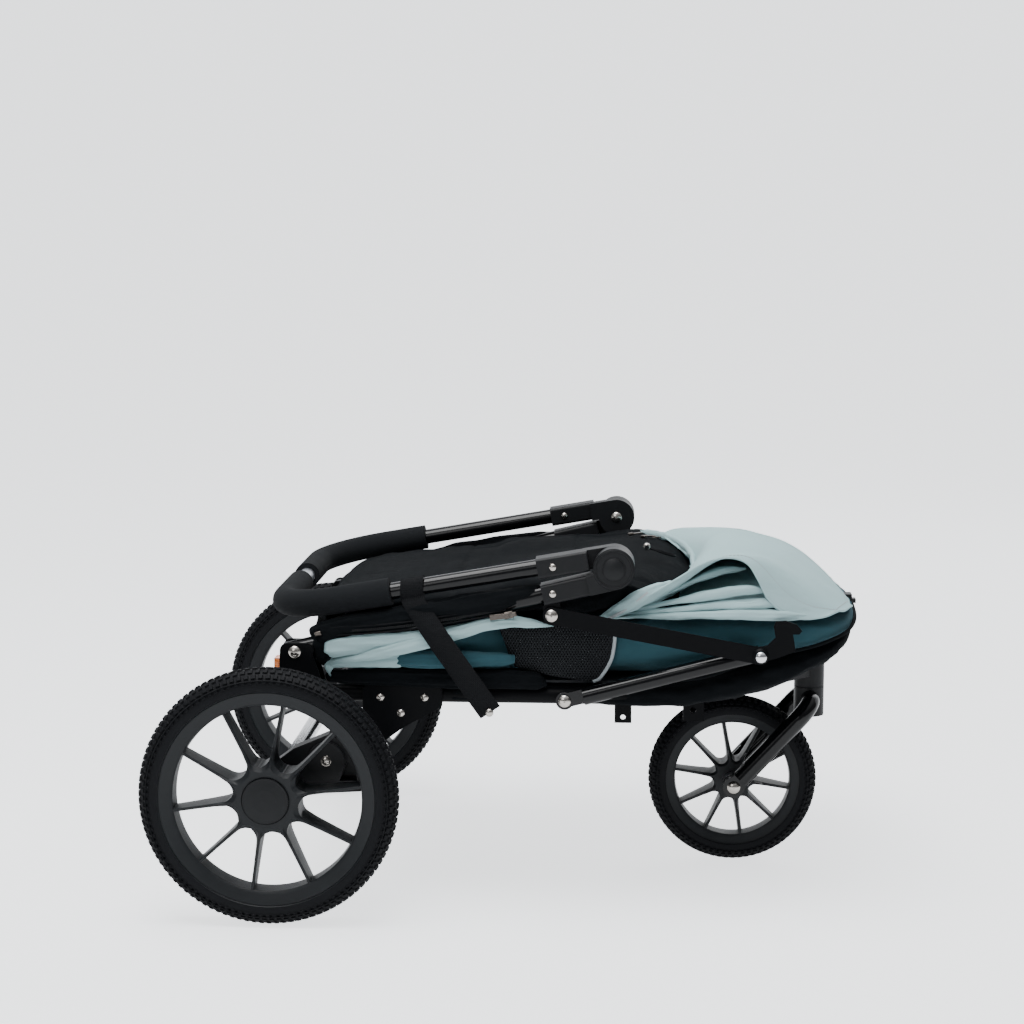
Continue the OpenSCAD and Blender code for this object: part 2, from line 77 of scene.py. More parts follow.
# %% Camera
camera_data = bpy.data.cameras.new("camera")
camera_data.lens = 75
camera_data.sensor_width = 36
camera = bpy.data.objects.new("camera", camera_data)
camera.location = (AXLE_X + 0.3952, -2.5454, 0.7748)
camera.rotation_euler = (math.radians(90 - 7.806), 0, math.radians(3.184))
bpy.context.scene.collection.objects.link(camera)
bpy.context.scene.camera = camera
print("camera", tuple(round(v, 3) for v in camera.location), "lens", camera_data.lens, "mm")

# %% Lamps and the room's own light
world = bpy.data.worlds.new("room")
bpy.context.scene.world = world
world.use_nodes = True
room = world.node_tree.nodes["Background"]
room.inputs["Color"].default_value = (0.94, 0.96, 1.0, 1)
way_out = world.node_tree.nodes.new("ShaderNodeTexCoord")
height = world.node_tree.nodes.new("ShaderNodeSeparateXYZ")
glow = world.node_tree.nodes.new("ShaderNodeMapRange")
glow.interpolation_type = "SMOOTHSTEP"
for key, number in (("From Min", 0.35), ("From Max", 0.95), ("To Min", 0.22), ("To Max", 0.9)):
    glow.inputs[key].default_value = number
world.node_tree.links.new(way_out.outputs["Generated"], height.inputs[0])
world.node_tree.links.new(height.outputs["Z"], glow.inputs["Value"])
world.node_tree.links.new(glow.outputs[0], room.inputs["Strength"])


def lamp(name, place, target, size, power):
    """A square soft lamp that points at a target."""
    data = bpy.data.lights.new(name, "AREA")
    data.size = size
    data.energy = power
    made = bpy.data.objects.new(name, data)
    made.location = place
    aim = np.array(target) - np.array(place)
    flat = math.hypot(aim[0], aim[1])
    made.rotation_euler = (math.atan2(flat, -aim[2]), 0, math.atan2(aim[0], -aim[1]) + math.pi)
    bpy.context.scene.collection.objects.link(made)


MIDDLE = (AXLE_X + 0.26, 0, 0.25)
lamp("top_lamp", (-0.3, -0.5, 2.5), MIDDLE, 1.7, 88)
lamp("front_lamp", (-1.2, -2.8, 1.9), MIDDLE, 1.4, 15)
lamp("rim_lamp", (1.4, 2.4, 1.8), MIDDLE, 1.8, 16)

# %% [markdown]
# ## A small kit for shaders
# A material is a graph, and arithmetic in it is a chain of Math nodes. The class below wraps a
# socket, so that `1 - mask * 0.4` writes that chain. Any other node comes from one method.
# Patterns read Object coordinates. Every piece here sits at the origin, unturned, so these are
# the stroller's own metres and a weave keeps one size over the whole cabin.


# %% Arithmetic on sockets
class Value:
    """A shader socket that Python's operators work on."""

    def __init__(self, tree, socket):
        self.tree = tree
        self.socket = socket

    def using(self, operation, *terms):
        made = self.tree.nodes.new("ShaderNodeMath")
        made.operation = operation
        for slot, term in zip(made.inputs, terms):
            if isinstance(term, Value):
                self.tree.links.new(term.socket, slot)
            else:
                slot.default_value = term
        return Value(self.tree, made.outputs[0])

    def __add__(self, other):
        return self.using("ADD", self, other)

    def __sub__(self, other):
        return self.using("SUBTRACT", self, other)

    def __rsub__(self, other):
        return self.using("SUBTRACT", other, self)

    def __mul__(self, other):
        return self.using("MULTIPLY", self, other)

    def __gt__(self, other):
        return self.using("GREATER_THAN", self, other)

    __radd__ = __add__
    __rmul__ = __mul__


# %% One material under construction
class Finish:
    """A Principled material. Uniform values are set on the shader's own sockets."""

    def __init__(self, name, colour, roughness, **fixed):
        self.material = bpy.data.materials.new(name)
        self.material.use_nodes = True
        self.tree = self.material.node_tree
        self.shader = self.tree.nodes["Principled BSDF"]
        self.colour = colour
        self.roughness = roughness
        self.shader.inputs["Base Color"].default_value = (*colour, 1)
        self.shader.inputs["Roughness"].default_value = roughness
        for socket, number in fixed.items():
            self.shader.inputs[socket.replace("_", " ")].default_value = number
        self.place = self.node("TexCoord", out="Object")

    def node(self, kind, settings=None, inputs=None, out=0):
        made = self.tree.nodes.new("ShaderNode" + kind)
        for key, value in (settings or {}).items():
            setattr(made, key, value)
        for key, value in (inputs or {}).items():
            if isinstance(value, Value):
                self.tree.links.new(value.socket, made.inputs[key])
            else:
                made.inputs[key].default_value = value
        return Value(self.tree, made.outputs[out])

    def noise(self, scale, detail=2.0, stretch=None):
        where = self.place
        if stretch:
            where = self.node("Mapping", inputs={"Vector": where, "Scale": stretch})
        return self.node("TexNoise", inputs={"Vector": where, "Scale": scale, "Detail": detail})

    def axes(self):
        made = self.tree.nodes.new("ShaderNodeSeparateXYZ")
        self.tree.links.new(self.place.socket, made.inputs[0])
        return [Value(self.tree, s) for s in made.outputs]

    def mixed(self, mask, first, second):
        """A colour between two, by a mask."""
        inputs = {"Factor": mask, 6: first, 7: second}
        for key in (6, 7):
            if isinstance(inputs[key], tuple):
                inputs[key] = (*inputs[key], 1)
        return self.node("Mix", {"data_type": "RGBA"}, inputs, 2)

    def feed(self, socket, value):
        self.tree.links.new(value.socket, self.shader.inputs[socket])

    def tint(self, scale, amount, detail=3.0, stretch=None):
        """The colour and roughness drift a little over the surface."""
        drift = self.noise(scale, detail, stretch)
        dark = tuple(c * (1 - amount) for c in self.colour)
        light = tuple(min(1, c * (1 + amount)) for c in self.colour)
        self.feed("Base Color", self.mixed(drift, dark, light))
        self.feed("Roughness", self.roughness * 0.85 + drift * (self.roughness * 0.3))

    def relief(self, height, depth, rounding=0.0):
        """Bump of a real depth in metres, on edges rounded in the shading."""
        inputs = {"Height": height, "Strength": 1.0, "Distance": depth}
        if rounding:
            inputs["Normal"] = self.node("Bevel", {"samples": 4}, {"Radius": rounding})
        self.feed("Normal", self.node("Bump", inputs=inputs))


# %% [markdown]
# ## Hard finishes
# Moulded nylon has a fine spark-eroded grain and no gloss. Powder coat is smoother, with a slow
# orange peel. The tubes are wet paint: almost black, with a sharp highlight. All of them have
# edges rounded by a fraction of a millimetre, because a real edge always catches the light.


# %% Plastics and rubber
def moulded(name, colour, roughness, grain=2600, depth=0.00008, edge=0.0008, specular=0.21):
    made = Finish(name, colour, roughness, Specular_IOR_Level=specular)
    made.tint(38, 0.16)
    made.relief(made.noise(grain, 1.0) + made.noise(60, 2.0) * 0.6, depth, edge)
    return made.material


rubber = moulded("rubber", (0.0045, 0.0050, 0.0062), 0.62, 1400, 0.00012, specular=0.12)
wheel_plastic = moulded("wheel_plastic", (0.0105, 0.0120, 0.0135), 0.42)
cap_plastic = moulded("cap_plastic", (0.0065, 0.0072, 0.0082), 0.48)
moulded_black = moulded("moulded_black", (0.0068, 0.0074, 0.0085), 0.44)
board = moulded("floor_board", (0.05, 0.055, 0.06), 0.6)
print("plastics and rubber made")


# %% Metals and paint
def painted(name, colour, roughness, coat=0.0, specular=0.3):
    made = Finish(
        name, colour, roughness, Coat_Weight=coat, Coat_Roughness=0.05, Specular_IOR_Level=specular
    )
    made.tint(45, 0.2)
    made.relief(made.noise(700, 2.0), 0.00004, 0.0006)
    return made


def metal(name, colour, roughness):
    made = Finish(name, colour, roughness, Metallic=1.0)
    made.tint(120, 0.07)
    made.relief(made.noise(900, 2.0, (1, 6, 1)), 0.00003, 0.0004)
    return made.material


powder_black = painted("powder_black", (0.0032, 0.0035, 0.0042), 0.42, specular=0.06).material
gloss_tube = painted("gloss_tube", (0.0022, 0.0024, 0.0029), 0.14, 0.15, 0.22).material
bolt_zinc = metal("bolt_zinc", (0.52, 0.49, 0.45), 0.2)
axle_chrome = metal("axle_chrome", (0.80, 0.81, 0.83), 0.12)
bearing_steel = metal("bearing_steel", (0.52, 0.53, 0.55), 0.34)
pull_metal = metal("pull_metal", (0.105, 0.092, 0.082), 0.28)
print("paint and metals made")

# %% The handle's tube is bare chrome between the two grips
handle_finish = painted("handle_tube", (0.0022, 0.0024, 0.0029), 0.14, 0.15, 0.22)
grip_low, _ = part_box("foam_grip_left")
_, across, _ = handle_finish.axes()
bare = 1 - (handle_finish.node("Math", {"operation": "ABSOLUTE"}, {0: across}) > grip_low.y + 0.01)
paint_black = handle_finish.colour
handle_finish.feed("Base Color", handle_finish.mixed(bare, paint_black, (0.78, 0.81, 0.86)))
handle_finish.feed("Metallic", bare)
handle_finish.feed("Roughness", 0.15 + bare * 0.2)
print("bare tube to", round(grip_low.y + 0.01, 3), "m either side of the middle")

# %% Foam: closed cells that hold no highlight
foam_finish = Finish("foam", (0.0085, 0.0095, 0.0108), 0.9, Specular_IOR_Level=0.1)
foam_finish.tint(55, 0.18)
cells = foam_finish.node(
    "TexVoronoi", inputs={"Vector": foam_finish.place, "Scale": 900.0}, out="Distance"
)
foam_finish.relief(cells + foam_finish.noise(180, 2.0), 0.00022, 0.0015)
foam = foam_finish.material

# %% The reflectors: orange plastic over a grid of small prisms
prism_finish = Finish("reflector", (0.78, 0.17, 0.03), 0.12, Coat_Weight=0.6)
_, py, pz = prism_finish.axes()
wave = {"operation": "SINE"}
ridges = prism_finish.node("Math", wave, {0: py * 2600}) + prism_finish.node(
    "Math", wave, {0: pz * 2600}
)
prism_finish.relief(ridges, 0.0003)
orange = prism_finish.mixed(ridges * 0.25 + 0.5, (0.6, 0.1, 0.02), (0.9, 0.25, 0.05))
prism_finish.feed("Base Color", orange)
reflector = prism_finish.material
print("foam and reflectors made")


# %% [markdown]
# ## Cloth
# The cabin is woven polyester in three colours. Its weave is about 0.7 mm, so from a few steps
# away it shows as softness, not as lines. A little sheen on the mint and the teal gives the pale
# rim that cloth has where it turns away, and the black has none, so that it stays black. The
# webbing has a coarser thread, and the pocket is a knitted mesh whose holes show what is behind.


# %% Woven cloth
def woven(name, colour, roughness, thread=0.0007, sheen=0.25, drift=0.10):
    made = Finish(
        name, colour, roughness, Sheen_Weight=sheen, Sheen_Roughness=0.45, Specular_IOR_Level=0.06
    )
    made.tint(16, drift, 5.0)
    turns = 2 * math.pi / thread
    x, y, z = made.axes()
    threads = made.node("Math", {"operation": "SINE"}, {0: (x + y * 0.31) * turns})
    threads = threads + made.node("Math", {"operation": "SINE"}, {0: (z + y * 0.77) * turns})
    creases = made.noise(90, 4.0, (0.35, 1, 1)) * 8 + made.noise(30, 3.0, (0.4, 1, 1)) * 18
    made.relief(threads * 0.5 + creases, 0.00022)
    return made.material


cloth_mint = woven("cloth_mint", (0.405, 0.585, 0.602), 0.82, sheen=0.06, drift=0.045)
cloth_teal = woven("cloth_teal", (0.034, 0.094, 0.117), 0.8, sheen=0.05, drift=0.10)
cloth_black = woven("cloth_black", (0.0048, 0.0060, 0.0072), 0.88, sheen=0.0, drift=0.3)
lining = woven("lining", (0.0060, 0.0066, 0.0076), 0.88, sheen=0.0, drift=0.15)
webbing = woven("webbing", (0.0078, 0.0083, 0.0093), 0.76, thread=0.0021, sheen=0.0)
piping_grey = woven("piping_grey", (0.42, 0.47, 0.49), 0.7, thread=0.0011)
print("cloths made")

# %% Pocket mesh: staggered holes through a black knit
HOLE_PITCH = 0.0034
mesh_finish = Finish("pocket_mesh", (0.0105, 0.0118, 0.0135), 0.75, Specular_IOR_Level=0.16)
mx, _, mz = mesh_finish.axes()
turns = 2 * math.pi / HOLE_PITCH
diagonal = [(mx + mz * 0.6) * turns, (mx - mz * 0.6) * turns]
knit = [mesh_finish.node("Math", {"operation": "COSINE"}, {0: d}) for d in diagonal]
knit = knit[0] + knit[1]
holes = knit > 0.75
mesh_finish.feed("Base Color", mesh_finish.mixed(holes, (0.0125, 0.014, 0.016), (0.003, 0.0035, 0.004)))
mesh_finish.relief(1 - knit * 0.5, 0.0006)
mesh_finish.feed("Alpha", 1 - holes * 0.55)
pocket_mesh = mesh_finish.material
print("pocket holes every", HOLE_PITCH / MM, "mm")

# %% [markdown]
# The floor is pale paper. It glows a little, so that the background is nearly white, and it
# glows less towards the stroller than towards the lens, so that the black parts aren't washed
# out. This is part of the studio, and no piece of the stroller glows.

# %% The floor: pale paper
paper = Finish("paper", (0.50, 0.51, 0.52), 0.9, Emission_Strength=1.75)
to_lens = paper.node("LightPath", out="Is Camera Ray")
paper.feed("Emission Color", paper.mixed(to_lens, (0.50, 0.51, 0.52), (0.96, 0.98, 1.0)))
paper.tint(3, 0.006)
print("paper made")

# %% Give each rigid node its finish
DRESSED = {
    "rubber": rubber, "wheel_plastic": wheel_plastic, "cap_plastic": cap_plastic,
    "bearing_steel": bearing_steel, "axle_chrome": axle_chrome, "moulded_black": moulded_black,
    "powder_black": powder_black, "gloss_tube": gloss_tube, "bolt_zinc": bolt_zinc, "foam": foam,
    "strap_webbing": webbing, "cloth_black": cloth_black, "cloth_mint": cloth_mint,
    "cloth_teal": cloth_teal, "floor_board": board, "reflector": reflector,
}
for part in frame["record"]["subparts"]:
    target = nodes[part["node"]]
    target.data.materials.clear()
    target.data.materials.append(DRESSED[part["material_slot"]])
nodes["handle_tube"].data.materials[0] = handle_finish.material
print("dressed", len(nodes), "nodes")

# %% [markdown]
# ## Making meshes
# Nearly everything below is one of four forms: a profile spun round a wheel's axle, a pipe along
# a path, a loft through rings, or a sheet through a net of points. Each helper writes its points
# straight into the stroller's metres, so a finished piece sits at the origin.


# %% From points to a piece
def piece(name, points, faces, finish, sharp=40):
    """A mesh object with outward faces, smooth but for edges sharper than an angle."""
    mesh = bpy.data.meshes.new(name)
    mesh.from_pydata([tuple(map(float, p)) for p in points], [], [tuple(f) for f in faces])
    finishes = finish if isinstance(finish, (list, tuple)) else [finish]
    for one in finishes:
        mesh.materials.append(one)
    work = bmesh.new()
    work.from_mesh(mesh)
    bmesh.ops.remove_doubles(work, verts=work.verts, dist=1e-6)
    bmesh.ops.recalc_face_normals(work, faces=work.faces)
    for face in work.faces:
        face.smooth = True
    for edge in work.edges:
        if len(edge.link_faces) == 2 and edge.calc_face_angle(0) > math.radians(sharp):
            edge.smooth = False
    work.to_mesh(mesh)
    work.free()
    made = bpy.data.objects.new(name, mesh)
    bpy.context.scene.collection.objects.link(made)
    return made


def joined(name, *parts):
    """Several meshes made one. Materials are kept."""
    with bpy.context.temp_override(
        active_object=parts[0], selected_editable_objects=list(parts), object=parts[0]
    ):
        bpy.ops.object.join()
    parts[0].name = name
    parts[0].data.name = name
    return parts[0]


def with_modifiers_applied(made):
    """The evaluated mesh takes the place of the mesh and its modifiers."""
    bpy.context.view_layer.update()
    view = bpy.context.evaluated_depsgraph_get()
    mesh = bpy.data.meshes.new_from_object(made.evaluated_get(view))
    made.modifiers.clear()
    made.data = mesh
    return made


# %% Rings of points joined by faces
def skin(rings, closed_round=True, closed_along=False, caps=False):
    """Faces between rings of equal length. Returns points and faces."""
    rings = [np.asarray(r, float) for r in rings]
    count, around = len(rings), len(rings[0])
    points = list(np.concatenate(rings))
    faces = []
    for i in range(count if closed_along else count - 1):
        for j in range(around if closed_round else around - 1):
            a, b = i, (i + 1) % count
            k = (j + 1) % around
            faces.append((a * around + j, a * around + k, b * around + k, b * around + j))
    if caps:
        for i in (0, count - 1):
            points.append(rings[i].mean(0))
            hub = len(points) - 1
            for j in range(around):
                faces.append((hub, i * around + j, i * around + (j + 1) % around))
    return points, faces


def spun(name, profile, centre, finish, steps=120, sharp=32):
    """A closed profile of (y, radius) spun round an axle along Y."""
    rings = []
    for k in range(steps):
        a = 2 * math.pi * k / steps
        rings.append(
            [(centre[0] + r * math.cos(a), centre[1] + y, centre[2] + r * math.sin(a)) for y, r in profile]
        )
    points, faces = skin(rings, closed_along=True)
    return piece(name, points, faces, finish, sharp)


# %% Smooth paths
def smooth_path(knots, steps=10):
    """A Catmull-Rom curve through knots of any dimension."""
    knots = np.asarray(knots, float)
    padded_knots = np.vstack([2 * knots[0] - knots[1], knots, 2 * knots[-1] - knots[-2]])
    out = []
    for i in range(len(knots) - 1):
        p0, p1, p2, p3 = padded_knots[i : i + 4]
        for t in np.linspace(0, 1, steps, endpoint=False):
            out.append(
                0.5 * (2 * p1 + (p2 - p0) * t + (2 * p0 - 5 * p1 + 4 * p2 - p3) * t**2
                       + (3 * p1 - p0 - 3 * p2 + p3) * t**3)
            )
    out.append(knots[-1])
    return np.array(out)


def frames_along(path, up=(0, 1, 0)):
    """Tangent, side and rise vectors at each point, the side kept near a given direction."""
    tangent = np.gradient(path, axis=0)
    tangent /= np.linalg.norm(tangent, axis=1)[:, None] + 1e-12
    side = np.asarray(up, float) - (tangent @ np.asarray(up, float))[:, None] * tangent
    side /= np.linalg.norm(side, axis=1)[:, None] + 1e-12
    return tangent, side, np.cross(tangent, side)


def pipe(name, path, radius, finish, sides=10, up=(0, 1, 0)):
    """A round cord or tube along a path. radius is one number or one for each point."""
    path = np.asarray(path, float)
    _, side, rise = frames_along(path, up)
    radii = np.broadcast_to(radius, len(path))
    turn = np.linspace(0, 2 * math.pi, sides, endpoint=False)
    rings = [
        p + r * (np.cos(turn)[:, None] * s + np.sin(turn)[:, None] * n)
        for p, r, s, n in zip(path, radii, side, rise)
    ]
    points, faces = skin(rings, caps=True)
    return piece(name, points, faces, finish, 80)


# %% Folds: flattened pipes that taper at their ends
def oblong(turn, square):
    """Cosine and sine of a soft oblong: square is 2 for an ellipse, and more for fuller corners."""
    c, s = np.cos(turn), np.sin(turn)
    return np.sign(c) * np.abs(c) ** (2 / square), np.sign(s) * np.abs(s) ** (2 / square)


def fold(name, knots, finish, sides=28, square=2.6, steps=10, up=(0, 1, 0), ridge=0.0):
    """knots hold x, y, z, half width and half height in mm. ridge is how deep its creases are."""
    line = smooth_path(np.asarray(knots, float) * MM, steps)
    path = line[:, :3] + (AXLE_X, 0, 0)
    wide, high = np.maximum(line[:, 3], 3e-4), np.maximum(line[:, 4], 3e-4)
    _, side, rise = frames_along(path, up)
    turn = np.linspace(0, 2 * math.pi, sides, endpoint=False)
    c, s = oblong(turn, square)
    rings = []
    for k, (p, w, h, a, b) in enumerate(zip(path, wide, high, side, rise)):
        swell = 1 + ridge * (np.cos(turn * 7 + k * 0.05) + 0.5 * np.cos(turn * 11 - k * 0.08))
        rings.append(p + (w * c * swell)[:, None] * a + (h * s * swell)[:, None] * b)
    points, faces = skin(rings, caps=True)
    return piece(name, points, faces, finish, 80)


# %% Wrinkles: a sum of slanting waves, the same on every run
def waves(points, size, stretch=(1, 1, 1), seed=1, count=9):
    """A smooth random height from -1 to 1 at each point."""
    draw = np.random.default_rng(seed)
    points = np.asarray(points, float) / np.asarray(stretch, float)
    height = np.zeros(len(points))
    for k in range(count):
        way = draw.normal(size=3)
        way /= np.linalg.norm(way)
        scale = 2 * math.pi / (size * draw.uniform(0.6, 1.6))
        height += np.sin(points @ way * scale + draw.uniform(0, 6.28)) / count**0.5
    return height / 1.4


def ruffle(made, amount, size, stretch=(1, 1, 1), seed=1, only=None):
    """Moves a cloth's points along their normals by waves. only is a share for each point."""
    mesh = made.data
    points = np.array([v.co for v in mesh.vertices])
    normals = np.array([v.normal for v in mesh.vertices])
    height = waves(points, size, stretch, seed) * amount
    if only is not None:
        height = height * only(points)
    moved = points + normals * height[:, None]
    mesh.vertices.foreach_set("co", moved.astype(np.float32).ravel())
    mesh.update()


# %% [markdown]
# ## Repeats by Geometry Nodes
# Tread blocks, zip teeth and stitches are one small shape many times over. Two trees do all of
# them: one sets a template round an axle, the other sets it along a curve. Both realise their
# instances, because only real meshes leave this file.


# %% A node tree with named inputs
def start_tree(name, inputs):
    tree = bpy.data.node_groups.new(name, "GeometryNodeTree")
    for label, kind in inputs:
        tree.interface.new_socket(label, in_out="INPUT", socket_type=kind)
    tree.interface.new_socket("Geometry", in_out="OUTPUT", socket_type="NodeSocketGeometry")
    tree.nodes.new("NodeGroupInput")
    tree.nodes.new("NodeGroupOutput")
    return tree


def add(tree, kind, settings=None, inputs=None):
    """One node: settings first, then values or links, by socket name or number."""
    made = tree.nodes.new(kind)
    for key, value in (settings or {}).items():
        setattr(made, key, value)
    for key, value in (inputs or {}).items():
        if isinstance(value, bpy.types.NodeSocket):
            tree.links.new(value, made.inputs[key])
        else:
            made.inputs[key].default_value = value
    return made


def close_tree(tree, instances, finish):
    """Real meshes, one finish, and out."""
    real = add(tree, "GeometryNodeRealizeInstances", inputs={0: instances})
    painted_mesh = add(tree, "GeometryNodeSetMaterial", inputs={0: real.outputs[0], "Material": finish})
    out = next(n for n in tree.nodes if n.bl_idname == "NodeGroupOutput")
    tree.links.new(painted_mesh.outputs[0], out.inputs[0])


# %% Round an axle
ROUND_INPUTS = [
    ("Template", "NodeSocketObject"), ("Count", "NodeSocketInt"), ("Turn", "NodeSocketFloat"),
    ("Centre", "NodeSocketVector"), ("Finish", "NodeSocketMaterial"),
]
round_axle = start_tree("round_axle", ROUND_INPUTS)
given = round_axle.nodes["Group Input"].outputs
shape = add(round_axle, "GeometryNodeObjectInfo", inputs={"Object": given["Template"]})
spots = add(round_axle, "GeometryNodePoints", inputs={"Count": given["Count"], "Position": given["Centre"]})
index = add(round_axle, "GeometryNodeInputIndex")
share = add(round_axle, "ShaderNodeMath", {"operation": "DIVIDE"}, {0: index.outputs[0], 1: given["Count"]})
angle = add(
    round_axle, "ShaderNodeMath", {"operation": "MULTIPLY_ADD"},
    {0: share.outputs[0], 1: -2 * math.pi, 2: given["Turn"]},
)
spin = add(round_axle, "ShaderNodeCombineXYZ", inputs={"Y": angle.outputs[0]})
turned = add(round_axle, "FunctionNodeEulerToRotation", inputs={0: spin.outputs[0]})
set_out = add(
    round_axle, "GeometryNodeInstanceOnPoints",
    inputs={
        "Points": spots.outputs[0], "Instance": shape.outputs["Geometry"], "Rotation": turned.outputs[0]
    },
)
close_tree(round_axle, set_out.outputs[0], given["Finish"])
print("tree:", round_axle.name, "with", len(round_axle.nodes), "nodes")

# %% Along a curve
ALONG_INPUTS = [
    ("Curve", "NodeSocketObject"), ("Template", "NodeSocketObject"), ("Spacing", "NodeSocketFloat"),
    ("Finish", "NodeSocketMaterial"),
]
along_curve = start_tree("along_curve", ALONG_INPUTS)
given = along_curve.nodes["Group Input"].outputs
line = add(along_curve, "GeometryNodeObjectInfo", inputs={"Object": given["Curve"]})
shape = add(along_curve, "GeometryNodeObjectInfo", inputs={"Object": given["Template"]})
even = add(
    along_curve, "GeometryNodeResampleCurve", {"mode": "LENGTH"},
    {"Curve": line.outputs["Geometry"], "Length": given["Spacing"]},
)
heading = add(along_curve, "GeometryNodeInputTangent")
aligned = add(
    along_curve, "FunctionNodeAlignRotationToVector", {"axis": "X"}, {"Vector": heading.outputs[0]}
)
set_out = add(
    along_curve, "GeometryNodeInstanceOnPoints",
    inputs={
        "Points": even.outputs[0], "Instance": shape.outputs["Geometry"], "Rotation": aligned.outputs[0]
    },
)
close_tree(along_curve, set_out.outputs[0], given["Finish"])
print("tree:", along_curve.name, "with", len(along_curve.nodes), "nodes")


# %% Run a tree and keep its mesh
def grown(name, tree, values, smooth=True):
    """The tree's result as a plain mesh piece. Its template and curve objects go away."""
    host = bpy.data.objects.new(name, bpy.data.meshes.new(name))
    bpy.context.scene.collection.objects.link(host)
    modifier = host.modifiers.new("repeat", "NODES")
    modifier.node_group = tree
    for item in tree.interface.items_tree:
        if item.in_out == "INPUT":
            modifier[item.identifier] = values[item.name]
    with_modifiers_applied(host)
    host.data.name = name
    for polygon in host.data.polygons:
        polygon.use_smooth = smooth
    for label in ("Template", "Curve"):
        if label in values and values[label].name in bpy.context.scene.objects:
            bpy.data.objects.remove(values[label])
    return host


def curve_object(path):
    """A poly curve through points, for the tree to walk along."""
    data = bpy.data.curves.new("walk", "CURVE")
    data.dimensions = "3D"
    spline = data.splines.new("POLY")
    spline.points.add(len(path) - 1)
    for point, place in zip(spline.points, path):
        point.co = (*map(float, place), 1)
    made = bpy.data.objects.new("walk", data)
    bpy.context.scene.collection.objects.link(made)
    return made


def block(name, half, taper=0.75):
    """A small block, narrower at its outer (+X) face: the template of a tread knob."""
    hx, hy, hz = half
    corners = []
    for sx in (-1, 1):
        k = taper if sx > 0 else 1
        for sy, sz in ((-1, -1), (1, -1), (1, 1), (-1, 1)):
            corners.append((sx * hx, sy * hy * k, sz * hz * k))
    faces = [(0, 1, 2, 3), (7, 6, 5, 4), (0, 4, 5, 1), (1, 5, 6, 2), (2, 6, 7, 3), (3, 7, 4, 0)]
    return piece(name, corners, faces, rubber, 30)


# %% [markdown]
# ## The wheels
# Each wheel is a foam tyre with a knobbly tread on a one-piece nylon rim. The rim's ten blade
# spokes stand in five pairs. The hub's outline is a soft union of a disc and the spokes: the
# distance to each is blended, so that the pockets between spokes come out as smooth U shapes, as
# the mould makes them. Everything is worked out from the rigid wheel's own box.


# %% Sizes of a wheel, read from the frame
class Wheel:
    """Measures in metres. hub and pocket sizes are the moulded ones."""

    def __init__(self, label, tyre, body, hub, hub_half, bore, rim_inner, recess):
        low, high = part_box(tyre)
        self.label = label
        self.tyre = tyre
        self.body = body
        self.centre = tuple((low + high) / 2)
        self.radius = (high.z - low.z) / 2
        self.half = (high.y - low.y) / 2
        self.hub = hub
        self.hub_half = hub_half
        self.bore = bore
        self.rim_inner = rim_inner
        self.recess = recess


wheels = [
    Wheel("rear_right", "rear_tyre_right", "rear_wheel_right", 0.0365, 0.0215, 0.0112, 0.105, -1),
    Wheel("rear_left", "rear_tyre_left", "rear_wheel_left", 0.0365, 0.0215, 0.0112, 0.105, 1),
    Wheel("front", "front_tyre", "front_wheel", 0.0225, 0.019, 0.0112, 0.0700, 0),
]
for w in wheels:
    print(w.label, "radius", round(w.radius, 4), "half width", round(w.half, 4), "at", w.centre[0])


# %% Tyre: a smooth carcass and seven rings of knobs
KNOB_HEIGHT = 0.0022
KNOB_PITCH = 0.0086


def crown_and_girth(w):
    """Radii of the carcass at its middle and where its sidewalls begin."""
    crown = w.radius - KNOB_HEIGHT
    return crown, crown - (w.half - 0.001) * 0.98


def over_crown(w, a):
    """Place along the axle and radius at an angle across the crown."""
    crown, girth = crown_and_girth(w)
    return (w.half - 0.0008) * math.cos(a), girth + (crown - girth) * math.sin(a) ** 0.9


def tyre_profile(w):
    """A half-round crown, flat sidewalls and a foot in the rim."""
    girth = crown_and_girth(w)[1]
    outer = [over_crown(w, a) for a in np.linspace(0, math.pi, 33)]
    foot = w.rim_inner + 0.0155
    rings = [(w.half - 0.0012, girth - 0.003), (w.half - 0.0034, foot + 0.001), (w.half - 0.008, foot)]
    left = [(-y, r) for y, r in rings]
    return outer + left + [(y, r) for y, r in reversed(rings)]


def tread(w, angle, count, half, turn):
    """One ring of knobs at an angle across the crown, 90 degrees being the middle."""
    y, r = over_crown(w, math.radians(angle))
    knob = block("knob", half)
    lean = math.radians(90 - angle)
    for v in knob.data.vertices:
        x, s = v.co.x, v.co.y
        v.co.x = r + x * math.cos(lean) - s * math.sin(lean)
        v.co.y = y + x * math.sin(lean) + s * math.cos(lean)
    values = {"Template": knob, "Count": count, "Turn": turn, "Centre": w.centre, "Finish": rubber}
    return grown("tread", round_axle, values, smooth=False)


def make_tyre(w):
    carcass = spun("carcass", tyre_profile(w), w.centre, rubber, 160)
    around = round(2 * math.pi * w.radius / KNOB_PITCH)
    step = math.pi / around
    knobs = [tread(w, 90, around, (0.0020, 0.0030, 0.0031), 0)]
    for side in (1, -1):
        knobs.append(tread(w, 90 - side * 27, around, (0.0019, 0.0030, 0.0030), step))
        knobs.append(tread(w, 90 - side * 50, around, (0.0018, 0.0028, 0.0029), 0))
        knobs.append(tread(w, 90 - side * 69, around, (0.0013, 0.0022, 0.0027), step))
    lines = []
    for side in (1, -1):
        ring = [
            (side * (w.half - 0.0012), w.radius - 0.0108),
            (side * (w.half + 0.0001), w.radius - 0.0113),
            (side * (w.half - 0.0010), w.radius - 0.0122),
            (side * (w.half - 0.003), w.radius - 0.0115),
        ]
        lines.append(spun("ring", ring, w.centre, rubber, 160))
    made = joined("tyre_" + w.label, carcass, *knobs, *lines)
    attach(made, w.body)
    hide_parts(w.tyre)
    print(made.name, len(made.data.polygons), "faces")


for w in wheels:
    make_tyre(w)


